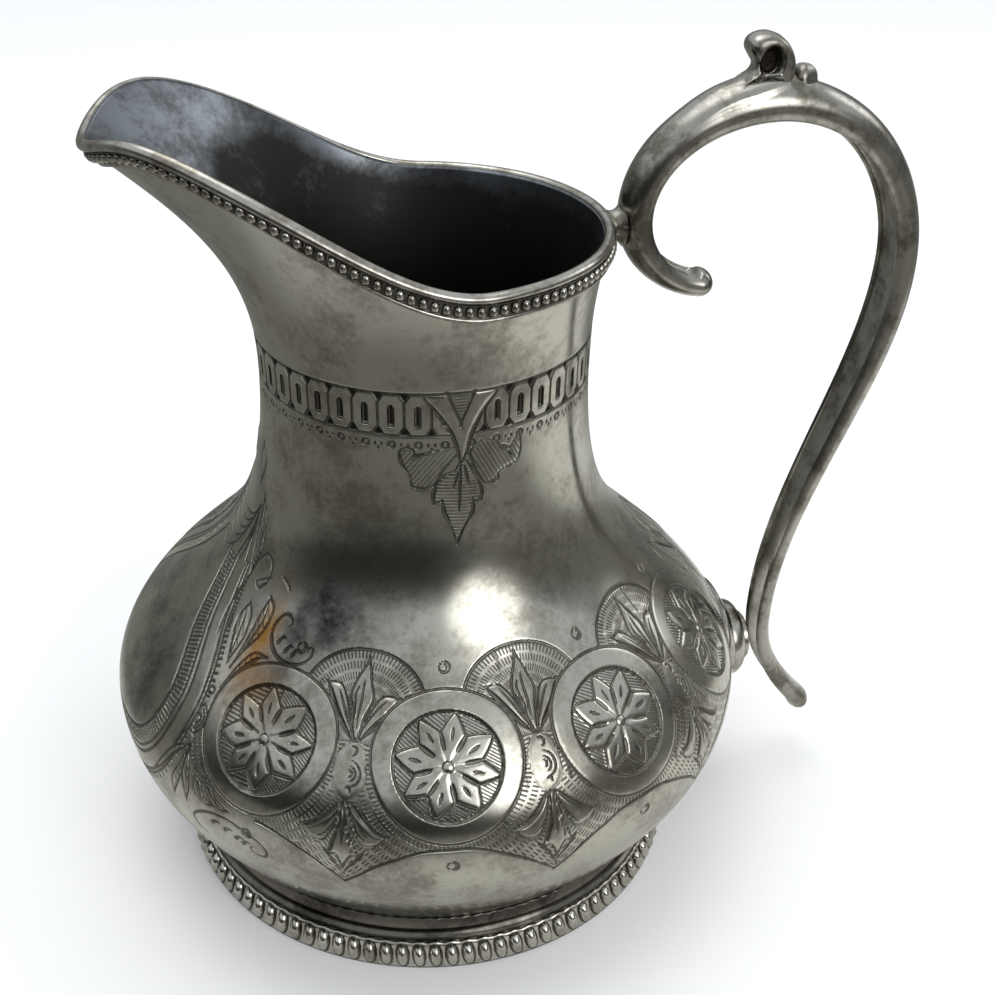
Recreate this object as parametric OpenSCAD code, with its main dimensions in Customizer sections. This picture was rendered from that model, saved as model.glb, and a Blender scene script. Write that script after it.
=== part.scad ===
// Silver-plated milk jug: raised body with a broad helmet spout, spun foot with a bead border,
// beaded rim, cast scroll handle soldered to a lug at the rim and to a stepped boss on the belly.
// Millimetres. Z is up, the foot stands on Z = 0, the spout points to -X and the handle to +X.

/* [Body] */
// Thickness of the raised sheet
wall = 1.0; // [0.7:0.1:1.4]
// Radius of the body where it sits on the foot
seat_r = 34.2; // [33:0.2:36]
// Largest radius of the belly
belly_r = 45.0; // [43:0.5:47]
// Height of the belly's largest radius
belly_z = 28.3; // [26:0.5:31]
// Radius of the shoulder where the curve turns hollow
shoulder_r = 30.5; // [28:0.5:32]
// Height of the shoulder's turn
shoulder_z = 48.0; // [46:0.5:50]
// Slope of the shoulder at its turn, in degrees above level
shoulder_slope = 48; // [42:1:54]
// Radius of the neck at its waist
neck_r = 22.0; // [20:0.5:24]
// Height of the neck's waist
neck_z = 76.0; // [72:0.5:80]

/* [Spout and rim] */
// Radius of the rim at the back and the sides
rim_r = 24.0; // [23:0.2:26]
// Height of the rim at the back
rim_z = 93.8; // [90:0.5:98]
// How far the spout reaches out past the rim's radius
spout_reach = 16.9; // [14:0.5:20]
// Half angle over which the spout narrows to its flank
spout_angle = 47; // [40:1:54]
// Rise of the rim from the back to the spout
spout_rise = 19.6; // [16:0.5:24]
// Drop of the lip at the spout's tip
lip_drop = 5.6; // [3:0.2:7]
// Half angle of the lip that drops
lip_angle = 16; // [12:1:20]
// Radius of the rolled edge on the rim
roll_r = 0.6; // [0.5:0.05:0.8]
// Height of the beaded strip below the rolled edge
strip_h = 2.6; // [2.2:0.1:3.2]
// Thickness of the beaded strip's backing
strip_t = 0.45; // [0.35:0.05:0.6]
// Number of beads round the rim
rim_beads = 132; // [110:1:150]
// How far the rim beads stand off the strip
rim_bead_rise = 0.55; // [0.4:0.05:0.7]

/* [Foot] */
// Height of the foot, from the table to the body's seat
foot_h = 7.5; // [6.5:0.25:9]
// Outer radius of the foot over its bottom edge
foot_r = 36.4; // [35.6:0.1:38]
// Thickness of the spun foot sheet
foot_wall = 1.2; // [1.0:0.1:1.6]
// Depth of the hollow moulding above the beads
cavetto_depth = 1.3; // [0.8:0.1:1.6]
// Height of the bead border
foot_strip_h = 4.4; // [3.8:0.1:4.8]
// Inward lean of the bead border over its height
foot_strip_lean = 1.4; // [1:0.1:1.8]
// Thickness of the bead border's backing
foot_strip_t = 0.6; // [0.5:0.05:0.8]
// Number of beads round the foot
foot_beads = 98; // [88:1:104]
// How far the foot beads stand off the border
foot_bead_rise = 0.8; // [0.6:0.05:1]

/* [Handle] */
// Reach of the handle's bow past its joint with the rim
bow_reach = 38.2; // [34:0.5:42]
// Rise of the handle's crown above the rim
crown_rise = 14.0; // [11:0.5:17]
// Drop of the inner scroll's tip below the rim
curl_drop = 10.2; // [9:0.5:12]
// Reach of the inner scroll's tip
curl_reach = 9.4; // [8:0.5:12]
// Drop of the tail below the boss
tail_drop = 13.6; // [12:0.5:15]
// Reach of the tail past the boss
tail_reach = 8.3; // [7:0.5:11]
// Depth of the handle in its plane at the inner scroll's tip
depth_tip = 3.4; // [3:0.1:3.8]
// Depth of the handle at the rim
depth_rim = 4.8; // [3.8:0.1:5]
// Depth of the handle at the crown
depth_crown = 6.0; // [5.4:0.1:6.6]
// Depth of the handle at the bow
depth_bow = 5.0; // [4.2:0.1:5.4]
// Depth of the handle at the boss
depth_boss = 3.3; // [2.8:0.1:3.8]
// Width of the handle across its plane at the crown
width_crown = 7.4; // [6.6:0.1:8]
// Width of the handle at its two ends
width_end = 5.4; // [4.8:0.1:6]
// Depth of the channel along the handle's inner face
groove = 0.7; // [0.4:0.1:0.9]
// Depth of the flat seat for the thumb scroll
thumb_seat = 0.55; // [0.45:0.05:0.7]
// Width of the thumb scroll
thumb_w = 4.6; // [4:0.2:5.2]
// Height of the thumb scroll above its seat
thumb_h = 6.4; // [5.5:0.2:7]
// Radius of the bud behind the thumb scroll
bud_r = 1.75; // [1.5:0.05:1.9]

/* [Joints] */
// Radius of the solder lug between rim and handle
lug_r = 2.4; // [2:0.1:2.8]
// Length of the solder lug
lug_len = 1.0; // [0.8:0.1:1.6]
// Height of the boss's axis on the belly
boss_z = 23.0; // [21:0.5:25]
// Radius of the boss's flange
flange_r = 9.8; // [9:0.2:10.6]
// How far the flange stands off the belly
flange_h = 2.6; // [2:0.1:2.8]
// Thickness of the flange's plate on the belly
plate_t = 0.9; // [0.7:0.1:1.2]
// Radius of the boss's dome
dome_r = 6.0; // [5.4:0.1:6.6]
// Height of the boss's dome
dome_h = 2.4; // [2:0.1:2.8]
// Radius of the collar between dome and handle
collar_r = 3.8; // [3.4:0.1:4.2]
// Length of the collar
collar_h = 1.0; // [0.8:0.1:1.4]
// Clearance left for solder between two pieces
solder = 0.02; // [0.01:0.01:0.05]

/* [Hidden] */
$fn = 96;
COLS = 84;
ROWS = 9;
STEPS = 14;

function bez(p, t) = pow(1 - t, 3) * p[0] + 3 * t * pow(1 - t, 2) * p[1]
    + 3 * t * t * (1 - t) * p[2] + pow(t, 3) * p[3];
function dbez(p, t) = 3 * pow(1 - t, 2) * (p[1] - p[0]) + 6 * t * (1 - t) * (p[2] - p[1])
    + 3 * t * t * (p[3] - p[2]);
function unit(v) = v / norm(v);
function right_of(v) = [v[1], -v[0]];
function mix(a, b, t) = a + (b - a) * t;

// Body outline: three curves from the foot's seat to the neck's waist.
turn = [cos(shoulder_slope), sin(shoulder_slope)];
turn_in = 6.9;
turn_out = 6.9;
seat_rise = 4.8;
seat_spread = 3.4;
belly_low = 9.3;
belly_high = 8.3;
neck_low = 18;
body_curves = [
    [[seat_r, foot_h], [seat_r + seat_spread, foot_h + seat_rise],
     [belly_r, belly_z - belly_low], [belly_r, belly_z]],
    [[belly_r, belly_z], [belly_r, belly_z + belly_high],
     [shoulder_r + turn_in * turn[0], shoulder_z - turn_in * turn[1]], [shoulder_r, shoulder_z]],
    [[shoulder_r, shoulder_z], [shoulder_r - turn_out * turn[0], shoulder_z + turn_out * turn[1]],
     [neck_r, neck_z - neck_low], [neck_r, neck_z]]];
function body_pt(c, i, off) = let (t = i / STEPS)
    bez(body_curves[c], t) - off * right_of(unit(dbez(body_curves[c], t)));
function body_line(off) = [for (c = [0:2]) for (i = [c == 0 ? 0 : 1:STEPS]) body_pt(c, i, off)];
// Radius of the belly at a height below its widest part, found by halving.
function belly_t(z, lo = 0, hi = 1, n = 24) = n == 0 ? (lo + hi) / 2
    : let (m = (lo + hi) / 2) bez(body_curves[0], m)[1] < z ? belly_t(z, m, hi, n - 1)
    : belly_t(z, lo, m, n - 1);
function belly_at(z) = bez(body_curves[0], belly_t(z))[0];

// Rim: polar curve about the body's axis, measured from the spout's centre line.
spout_power = 1.75;
rise_span = 100;
rise_turn = 180 / rise_span;
function off_spout(a) = abs(a > 180 ? a - 360 : a);
function rim_reach(a) = rim_r + spout_reach * exp(-pow(off_spout(a) / spout_angle, spout_power));
function rim_rise(a) = let (d = off_spout(a))
    rim_z + (d < rise_span ? spout_rise * (1 + cos(d * rise_turn)) / 2 : 0)
    - lip_drop * exp(-pow(d / lip_angle, 2));
waist_pull = 0.45;
flare_pull = 0.33;
flare_out = 0.345;
function rib(a) = let (r = rim_reach(a), z = rim_rise(a), h = z - neck_z)
    [[neck_r, neck_z], [neck_r, neck_z + waist_pull * h],
     [neck_r + flare_out * (r - neck_r), z - flare_pull * h], [r, z]];
function strip_start(p) = 1 - strip_h / (3 * norm(p[3] - p[2]));
root_sink = 1.2;
root_inset = 0.08;
function rib_t(p, j) = j > ROWS ? 1 : strip_start(p) * (j / ROWS);
function rib_pt(a, j, off) = let (p = rib(a), t = rib_t(p, j), q = bez(p, t),
    n = right_of(unit(dbez(p, t)))) q + off * n;
function around(a, q) = [-q[0] * cos(a), -q[0] * sin(a), q[1]];
// Closed ring whose section is the same list of points at every column.
module ring_of(sections) {
    cols = len(sections);
    n = len(sections[0]);
    pts = [for (s = sections) each s];
    faces = [for (i = [0:cols - 1]) let (k = (i + 1) % cols) for (j = [0:n - 1])
        let (m = (j + 1) % n)
        each [[i * n + j, k * n + m, k * n + j], [i * n + j, i * n + m, k * n + m]]];
    polyhedron(pts, faces);
}
// Angles that space columns evenly along the rim's length.
RIM_STEPS = 360;
function rim_pt(a) = around(a, [rim_reach(a), rim_rise(a)]);
rim_pieces = [for (i = [0:RIM_STEPS - 1]) norm(rim_pt(i + 1) - rim_pt(i))];
rim_table = [for (i = 0, s = 0; i <= RIM_STEPS;
    s = s + (i < RIM_STEPS ? rim_pieces[i] : 0), i = i + 1) [s, i]];
rim_length = rim_table[RIM_STEPS][0];
function col_angle(i, cols) = lookup(rim_length * i / cols, rim_table);

// The spout and neck rise from inside the body's wall, so that the two meet without a step.
function neck_section(a) = let (outer = [for (j = [1:ROWS + 1]) around(a, rib_pt(a, j, 0))],
    inner = [for (j = [ROWS + 1:-1:1]) around(a, rib_pt(a, j, -wall))])
    concat([around(a, [neck_r - root_inset, neck_z - root_sink])], outer, inner,
           [around(a, [neck_r - wall + root_inset, neck_z - root_sink])]);

module body() {
    color("#8c8a80") union() {
        rotate_extrude() polygon(concat([[0, foot_h]], body_line(0),
            [for (i = [3 * STEPS:-1:1]) body_line(wall)[i]],
            [[body_line(wall)[1][0], foot_h + wall], [0, foot_h + wall]]));
        ring_of([for (i = [0:COLS - 1]) neck_section(col_angle(i, COLS))]);
    }
}

// Foot: spun ring with a hollow moulding above the seat of its bead border.
strip_seat_r = foot_r - foot_strip_t;
strip_top_r = strip_seat_r - foot_strip_lean;
seat_ledge = 2.2;
foot_inner_r = min(seat_r, strip_top_r) - seat_ledge * foot_wall;
foot_toe = 2 * foot_wall;
hollow_pull = 1.3 * cavetto_depth;
hollow_low = 0.2 * cavetto_depth;
hollow_high = 0.6 * cavetto_depth;
cavetto = [[strip_top_r, foot_strip_h], [strip_top_r - hollow_pull, foot_strip_h + hollow_low],
    [seat_r - hollow_pull, foot_h - hollow_high], [seat_r, foot_h]];

module foot_ring() {
    color("#6f6d66") rotate_extrude() polygon(concat(
        [[strip_seat_r - foot_toe, 0], [strip_seat_r, 0]],
        [for (i = [0:STEPS]) bez(cavetto, i / STEPS)],
        [[foot_inner_r, foot_h], [foot_inner_r, foot_strip_h]]));
}

border_lift = 0.2;
foot_fillet = 0.4;
BEAD_COLS = 3;
function seat_at(z) = strip_seat_r - foot_strip_lean * z / foot_strip_h;
foot_mid = mix(border_lift, foot_strip_h, 0.5);
function foot_pt(a, z, off) = around(a, [seat_at(z) + off, z]);
function foot_section(a, lift) = [foot_pt(a, border_lift, solder), foot_pt(a, border_lift, foot_strip_t),
    foot_pt(a, border_lift + foot_fillet, foot_strip_t),
    foot_pt(a, foot_mid, foot_strip_t + lift * foot_bead_rise),
    foot_pt(a, foot_strip_h - foot_fillet, foot_strip_t), foot_pt(a, foot_strip_h, foot_strip_t),
    foot_pt(a, foot_strip_h, solder)];
module foot_bead_border() {
    cols = BEAD_COLS * foot_beads;
    color("#a3a197") ring_of([for (i = [0:cols - 1])
        foot_section(360 * i / cols, i % BEAD_COLS == 0 ? 0 : 1)]);
}

// Rolled edge on top of the sheet and the strip, with a round section.
ROLL_SIDES = 10;
function rim_frame(a) = let (p = rib(a), t = unit(dbez(p, 1))) [p[3], t, right_of(t)];
function roll_section(a) = let (f = rim_frame(a),
    c = f[0] + (roll_r + solder) * f[1] + (strip_t - wall) / 2 * f[2])
    [for (k = [0:ROLL_SIDES - 1]) let (b = 360 * k / ROLL_SIDES)
     around(a, c + roll_r * (cos(b) * f[2] + sin(b) * f[1]))];
module rim_roll() {
    color("#b4b2a8") ring_of([for (i = [0:COLS - 1]) roll_section(col_angle(i, COLS))]);
}

// Beaded strip: three columns to a bead, one in the gap and two on the bead.
function strip_pt(a, h, off) = let (p = rib(a), s = mix(strip_start(p), 1, h / strip_h),
    n = right_of(unit(dbez(p, s)))) around(a, bez(p, s) + off * n);
strip_fillet = 0.5;
bead_low = strip_fillet;
bead_high = strip_h - strip_fillet / 2;
bead_mid = mix(bead_low, bead_high, 0.5);
strip_gap = 2 * solder;
function strip_section(a, lift) = [strip_pt(a, 0, strip_gap), strip_pt(a, 0, strip_t),
    strip_pt(a, bead_low, strip_t), strip_pt(a, bead_mid, strip_t + lift * rim_bead_rise),
    strip_pt(a, bead_high, strip_t), strip_pt(a, strip_h, strip_t), strip_pt(a, strip_h, strip_gap)];
module rim_bead_border() {
    cols = BEAD_COLS * rim_beads;
    color("#a3a197") ring_of([for (i = [0:cols - 1])
        strip_section(col_angle(i, cols), i % BEAD_COLS == 0 ? 0 : 1)]);
}

// Handle: five curves in the plane of symmetry, from the inner scroll's tip to the tail.
border_back = rim_r + strip_t + rim_bead_rise;
lug_x = border_back + solder;
bow_x0 = lug_x + lug_len + solder + depth_rim / 2;
flange_x = belly_at(boss_z) + flange_h;
dome_x = flange_x + dome_h;
collar_x = dome_x + collar_h;
boss_line_x = collar_x + solder + depth_boss / 2;
joint_rise = 3.5;
boss_line_z = boss_z + joint_rise;
crown_share = 0.457;
crown_x = bow_x0 + crown_share * bow_reach;
crown_z = rim_z + crown_rise;
bow_x = bow_x0 + bow_reach;
bow_drop = 9.3;
bow_z = rim_z - bow_drop;
tip = [bow_x0 + curl_reach, rim_z - curl_drop];
tail = [boss_line_x + tail_reach, boss_z - tail_drop];
// Shares along each span at which the curves' inner points lie.
curl_side = 0.59;
curl_lift = 0.4;
curl_low = 0.58;
rise_pull = 0.56;
crown_near = 0.454;
crown_far = 0.556;
bow_high = 0.565;
bow_low = 0.31;
joint_high = 0.62;
tail_high = 0.44;
tail_side = 0.49;
tail_low = 0.74;
handle_curves = [
    [tip, [bow_x0 + curl_side * curl_reach, tip[1] + curl_lift],
     [bow_x0, rim_z - curl_low * curl_drop], [bow_x0, rim_z]],
    [[bow_x0, rim_z], [bow_x0, rim_z + rise_pull * crown_rise],
     [mix(bow_x0, crown_x, crown_near), crown_z], [crown_x, crown_z]],
    [[crown_x, crown_z], [mix(crown_x, bow_x, crown_far), crown_z],
     [bow_x, mix(bow_z, crown_z, bow_high)], [bow_x, bow_z]],
    [[bow_x, bow_z], [bow_x, mix(bow_z, boss_line_z, bow_low)],
     [boss_line_x, mix(bow_z, boss_line_z, joint_high)], [boss_line_x, boss_line_z]],
    [[boss_line_x, boss_line_z], [boss_line_x, mix(boss_line_z, tail[1], tail_high)],
     [mix(boss_line_x, tail[0], tail_side), mix(boss_line_z, tail[1], tail_low)], tail]];
depths = [depth_tip, depth_rim, depth_crown, depth_bow, depth_boss, depth_tip];
rim_share = 0.64;
width_rim = mix(width_end, width_crown, rim_share);
widths = [width_end, width_rim, width_crown, width_crown, width_end, width_end];
SIDES = 20;
RINGS = 12;
CAP = 4;
crown_seat = crown_z + depth_crown / 2 - thumb_seat;
rib_reach = 0.62;
function ease(t) = t * t * (3 - 2 * t);
function groove_at(b) = sin(b) < 0 ? groove * max(0, 1 - pow(cos(b) / rib_reach, 2)) : 0;
function flat(q) = [max(q[0], lug_x + lug_len + solder), q[1], min(q[2], crown_seat)];
function handle_ring(c, t, shift, size) = let (p = handle_curves[c], f = unit(dbez(p, t)),
    n = [-f[1], f[0]], q = bez(p, t) + shift * f,
    d = mix(depths[c], depths[c + 1], ease(t)), w = mix(widths[c], widths[c + 1], ease(t)))
    [for (k = [0:SIDES - 1]) let (b = 360 * k / SIDES,
        e = q + size * (d / 2 * sin(b) + groove_at(b)) * n)
     flat([e[0], size * w / 2 * cos(b), e[1]])];
function cap_shift(k) = sin(90 * k / CAP);
function cap_size(k) = cos(90 * k / CAP);
handle_rings = concat(
    [for (k = [CAP - 1:-1:1]) handle_ring(0, 0, -cap_shift(k) * depth_tip / 2, cap_size(k))],
    [for (c = [0:4]) for (i = [c == 0 ? 0 : 1:RINGS]) handle_ring(c, i / RINGS, 0, 1)],
    [for (k = [1:CAP - 1]) handle_ring(4, 1, cap_shift(k) * depth_tip / 2, cap_size(k))]);
module tube_of(rings) {
    m = len(rings);
    n = len(rings[0]);
    pts = [for (r = rings) each r];
    side = [for (i = [0:m - 2]) for (j = [0:n - 1]) let (k = (j + 1) % n)
        each [[i * n + j, (i + 1) * n + j, (i + 1) * n + k], [i * n + j, (i + 1) * n + k, i * n + k]]];
    ends = [[for (j = [0:n - 1]) j], [for (j = [n - 1:-1:0]) (m - 1) * n + j]];
    polyhedron(pts, concat(side, ends));
}
module handle() {
    color("#85837a") tube_of(handle_rings);
}

// Thumb scroll: a curled leaf with a hollow on each face, and a round bud behind it.
thumb_z = crown_seat + solder;
thumb_lead = 4.1;
thumb_x = crown_x - thumb_lead;
thumb_len = 6.2;
scoop_r = 2.1;
scoop_x = 2.9;
scoop_out = 0.7;
throat_z = 0.45 * thumb_h;
curl_z = 0.68 * thumb_h;
crest_x = 2.2;
thumb_curves = [
    [[0, 0], [0.8, 0.3 * thumb_h], [0.5, throat_z], [-0.2, curl_z]],
    [[-0.2, curl_z], [-0.6, 0.9 * thumb_h], [0.8, thumb_h], [crest_x, thumb_h]],
    [[crest_x, thumb_h], [2 * crest_x, thumb_h], [thumb_len - 0.4, 0.55 * thumb_h], [thumb_len, 0]]];
module thumb_scroll() {
    color("#97958c") difference() {
        translate([thumb_x, thumb_w / 2, thumb_z]) rotate([90, 0, 0]) linear_extrude(thumb_w)
            polygon([for (c = [0:2]) for (i = [c == 0 ? 0 : 1:STEPS]) bez(thumb_curves[c], i / STEPS)]);
        for (s = [-1, 1])
            translate([thumb_x + scoop_x, s * (thumb_w / 2 + scoop_out), thumb_z + thumb_h / 2])
                sphere(r = scoop_r);
    }
}
bud_gap = 0.1;
bud_sink = 0.65;
bud_x = thumb_x + thumb_len + bud_r + bud_gap;
module thumb_bud() {
    color("#97958c") intersection() {
        translate([bud_x, 0, thumb_z + (1 - bud_sink) * bud_r]) sphere(r = bud_r);
        translate([bud_x - bud_r, -bud_r, thumb_z]) cube([2 * bud_r, 2 * bud_r, 2 * bud_r]);
    }
}

// Solder lug between the bead border at the back of the rim and the handle.
lug_waist = 0.82;
lug_drop = 1.2;
lug_z = rim_z - lug_drop;
module rim_lug() {
    color("#7c7a72") translate([lug_x, 0, lug_z]) rotate([0, 90, 0])
        rotate_extrude() polygon([[0, 0], [lug_r, 0], [lug_waist * lug_r, lug_len / 2],
            [lug_r, lug_len], [0, lug_len]]);
}

// Boss on the belly: a plate wrapped on the belly with a raised cone, a dome and a collar, along X.
boss_root = 6;
plate_step = 1.5;
module along_x(x) {
    translate([x, 0, boss_z]) rotate([0, 90, 0]) children();
}
module belly_solid(grow) {
    rotate_extrude() polygon(concat([[0, foot_h]], body_line(-grow), [[0, neck_z]]));
}
module boss_flange() {
    color("#8a887e") difference() {
        union() {
            intersection() {
                along_x(flange_x - flange_h - boss_root) cylinder(r = flange_r, h = 2 * boss_root);
                belly_solid(plate_t);
            }
            along_x(flange_x - flange_h) rotate_extrude() polygon([[0, -boss_root],
                [flange_r - plate_step, -boss_root], [flange_r - plate_step, 0],
                [dome_r + plate_step / 3, flange_h], [0, flange_h]]);
        }
        belly_solid(solder);
    }
}
dome_brow = 0.55 * dome_h;
dome_ease = 0.4;
collar_ledge = 0.2;
dome_curve = [[dome_r, 0], [dome_r, dome_brow], [dome_r - dome_ease, dome_h],
    [collar_r + collar_ledge, dome_h]];
module boss_dome() {
    color("#9a988e") along_x(flange_x) rotate_extrude()
        polygon(concat([[0, 0]], [for (i = [0:STEPS]) bez(dome_curve, i / STEPS)], [[0, dome_h]]));
}
module boss_collar() {
    color("#b8b6ac") along_x(dome_x) cylinder(r = collar_r, h = collar_h);
}

body();
foot_ring();
foot_bead_border();
rim_roll();
rim_bead_border();
handle();
thumb_scroll();
thumb_bud();
rim_lug();
boss_flange();
boss_dome();
boss_collar();
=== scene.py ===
"""Looks of an engraved, silver plated milk jug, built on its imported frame.

Sizes are millimetres and become metres where a mesh is placed. The jug stands on z = 0 with its spout
towards -X and its handle towards +X. Angles round the body are degrees from the spout (0) over the near
side (90, which faces -Y) to the handle (180), and the far side repeats the near one as a mirror image.
"""

import logging
import math
from dataclasses import dataclass
from enum import Enum
from typing import Callable, Sequence

import bmesh
import bpy
import numpy as np
from mathutils import Matrix, Vector


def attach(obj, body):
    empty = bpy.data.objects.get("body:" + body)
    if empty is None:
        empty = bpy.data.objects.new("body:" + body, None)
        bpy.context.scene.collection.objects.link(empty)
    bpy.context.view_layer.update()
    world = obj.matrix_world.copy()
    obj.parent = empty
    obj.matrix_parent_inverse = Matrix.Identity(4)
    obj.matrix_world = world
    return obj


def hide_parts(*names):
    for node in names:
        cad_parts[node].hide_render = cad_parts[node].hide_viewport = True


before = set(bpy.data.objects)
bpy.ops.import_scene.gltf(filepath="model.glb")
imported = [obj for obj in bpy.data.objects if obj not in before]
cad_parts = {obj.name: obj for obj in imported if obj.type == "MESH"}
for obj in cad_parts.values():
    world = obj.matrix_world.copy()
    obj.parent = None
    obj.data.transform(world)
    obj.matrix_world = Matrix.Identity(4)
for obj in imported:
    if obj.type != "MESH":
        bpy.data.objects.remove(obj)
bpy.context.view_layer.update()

MM = 0.001
BODY = "root"
UV_NAME = "OFBake"
LOG = logging.getLogger("milk_jug")

# Millimetres from a cut at which nothing of it shows, and a place that no ornament reaches.
FAR = 3.0
FAR_OFF = 99.0

Mesh = bpy.types.Mesh
Material = bpy.types.Material
Piece = bpy.types.Object
Socket = bpy.types.NodeSocket
Array = np.ndarray
Pair = tuple[float, float]
Triple = tuple[float, float, float]
Points = Sequence[Sequence[float]]
Placer = Callable[[Array, Array], Array]


def bezier(points: Points, t: Array) -> Array:
    """Points on a cubic curve.

    Args:
        points: Four control points; each may be an array of points.
        t: Places along the curve, 0 to 1.

    Returns:
        The points, with the coordinate in the last axis.
    """
    p = np.asarray(points, float)
    s = np.asarray(t, float)[..., None]
    return (1 - s) ** 3 * p[0] + 3 * s * (1 - s) ** 2 * p[1] + 3 * s * s * (1 - s) * p[2] + s ** 3 * p[3]


def bezier_slope(points: Points, t: Array) -> Array:
    """Unit tangents of a cubic curve.

    Args:
        points: Four control points; each may be an array of points.
        t: Places along the curve, 0 to 1.

    Returns:
        The tangents, with the coordinate in the last axis.
    """
    p = np.asarray(points, float)
    s = np.asarray(t, float)[..., None]
    d = 3 * (1 - s) ** 2 * (p[1] - p[0]) + 6 * s * (1 - s) * (p[2] - p[1]) + 3 * s * s * (p[3] - p[2])
    return d / np.linalg.norm(d, axis=-1, keepdims=True)


def right_of(tangent: Array) -> Array:
    """The unit vector to the right of a tangent in the (radius, height) plane, which is outwards."""
    return np.stack([tangent[..., 1], -tangent[..., 0]], -1)


def mix(a: float, b: float, t: float) -> float:
    """The value at share t of the way from a to b."""
    return a + (b - a) * t


def step_up(x: Array, low: float, high: float) -> Array:
    """A smooth rise from 0 at low to 1 at high."""
    t = np.clip((np.asarray(x, float) - low) / (high - low), 0, 1)
    return t * t * (3 - 2 * t)


def around(angle: Array, radius: Array, height: Array) -> Array:
    """Points round the jug's axis.

    Args:
        angle: Degrees from the spout.
        radius: Distances from the axis.
        height: Heights above the table.

    Returns:
        The points, with the coordinate in the last axis.
    """
    turn = np.radians(angle)
    x, y = -radius * np.cos(turn), -radius * np.sin(turn)
    return np.stack([x, y, height + 0 * x], -1)


def run_along(line: Array) -> Array:
    """Length along a line from its start to each of its points."""
    return np.concatenate([[0], np.cumsum(np.linalg.norm(np.diff(line, axis=0), axis=1))])


def spline(points: Points, closed: bool = False, share: int = 5) -> Array:
    """A smooth line through listed points; a point that is given twice stays a corner.

    Args:
        points: The points, in millimetres.
        closed: Whether the line runs back to its start.
        share: Pieces between two points.

    Returns:
        The line's points.
    """
    p = np.asarray(points, float)
    p = np.vstack([p[-1:], p, p[:2]]) if closed else np.vstack([p[:1], p, p[-1:]])
    t = np.linspace(0, 1, share, endpoint=False)[:, None]
    out = []
    for a, b, c, d in zip(p[:-3], p[1:-2], p[2:-1], p[3:]):
        bend = t * t * (a - 2.5 * b + 2 * c - d / 2)
        out.append(b + t / 2 * (c - a) + bend + t ** 3 / 2 * (3 * b - 3 * c + d - a))
    return np.vstack(out + [p[-2:-1]])


def linear(code: str) -> tuple[float, float, float, float]:
    """The linear colour of an sRGB hex value.

    Args:
        code: The value, such as "#b1b0a6".

    Returns:
        Red, green, blue and a full alpha.
    """
    parts = [int(code[i:i + 2], 16) / 255 for i in (1, 3, 5)]
    r, g, b = [c / 12.92 if c <= 0.04045 else ((c + 0.055) / 1.055) ** 2.4 for c in parts]
    return r, g, b, 1.0


# Meshes


def grid_mesh(name: str, columns: int, rows: int, place: Placer, closed: bool = False) -> Mesh:
    """A mesh from a grid that is bent into place.

    Args:
        name: The mesh's name.
        columns: Faces along the first direction, which runs anticlockwise seen from outside.
        rows: Faces along the second direction.
        place: Turns column and row numbers into points in millimetres.
        closed: Whether the first and last columns and any pole are merged.

    Returns:
        The mesh, in metres, with an even map over the grid.
    """
    bm = bmesh.new()
    bmesh.ops.create_grid(bm, x_segments=columns, y_segments=rows, size=0.5)
    mesh = bpy.data.meshes.new(name)
    bm.to_mesh(mesh)
    bm.free()
    flat = np.empty(len(mesh.vertices) * 3)
    mesh.vertices.foreach_get("co", flat)
    flat = flat.reshape(-1, 3) + 0.5
    corner = np.empty(len(mesh.loops), int)
    mesh.loops.foreach_get("vertex_index", corner)
    mesh.uv_layers.new(name=UV_NAME).data.foreach_set("uv", flat[corner, :2].ravel())
    points = place(np.rint(flat[:, 0] * columns).astype(int), np.rint(flat[:, 1] * rows).astype(int))
    mesh.vertices.foreach_set("co", (points * MM).ravel())
    mesh.update()
    if closed:
        weld(mesh)
    mesh.shade_smooth()
    return mesh


def weld(mesh: Mesh, gap: float = 0.002) -> None:
    """Merges a mesh's near points and turns its faces outwards.

    Args:
        mesh: The mesh, in metres.
        gap: Millimetres within which points are merged.
    """
    bm = bmesh.new()
    bm.from_mesh(mesh)
    bmesh.ops.remove_doubles(bm, verts=bm.verts, dist=gap * MM)
    bmesh.ops.dissolve_degenerate(bm, edges=bm.edges, dist=gap * MM / 10)
    bmesh.ops.recalc_face_normals(bm, faces=bm.faces)
    bm.to_mesh(mesh)
    bm.free()


def spun_mesh(name: str, outline: Array, steps: int, base: Matrix, gap: float = 0.001,
              sharp: float = 40.0) -> Mesh:
    """A solid of revolution.

    Args:
        name: The mesh's name.
        outline: Closed outline of (radius, height) points in millimetres.
        steps: Columns in a full turn.
        base: Turns the spun shape's own axis, Z, to its place, in millimetres.
        gap: Millimetres within which points are merged.
        sharp: Degrees from which an edge is sharp.

    Returns:
        The mesh, in metres.
    """
    bm = bmesh.new()
    verts = [bm.verts.new((r, 0, h)) for r, h in outline]
    edges = [bm.edges.new((a, b)) for a, b in zip(verts, verts[1:] + verts[:1])]
    bmesh.ops.spin(bm, geom=verts + edges, cent=(0, 0, 0), axis=(0, 0, 1), angle=math.tau, steps=steps,
                   use_merge=True)
    bmesh.ops.remove_doubles(bm, verts=bm.verts, dist=gap)
    bmesh.ops.dissolve_degenerate(bm, edges=bm.edges, dist=gap / 5)
    bmesh.ops.recalc_face_normals(bm, faces=bm.faces)
    bmesh.ops.transform(bm, matrix=Matrix.Scale(MM, 4) @ base, verts=bm.verts)
    mesh = bpy.data.meshes.new(name)
    bm.to_mesh(mesh)
    bm.free()
    mesh.shade_smooth()
    mesh.set_sharp_from_angle(angle=math.radians(sharp))
    return mesh


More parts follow.
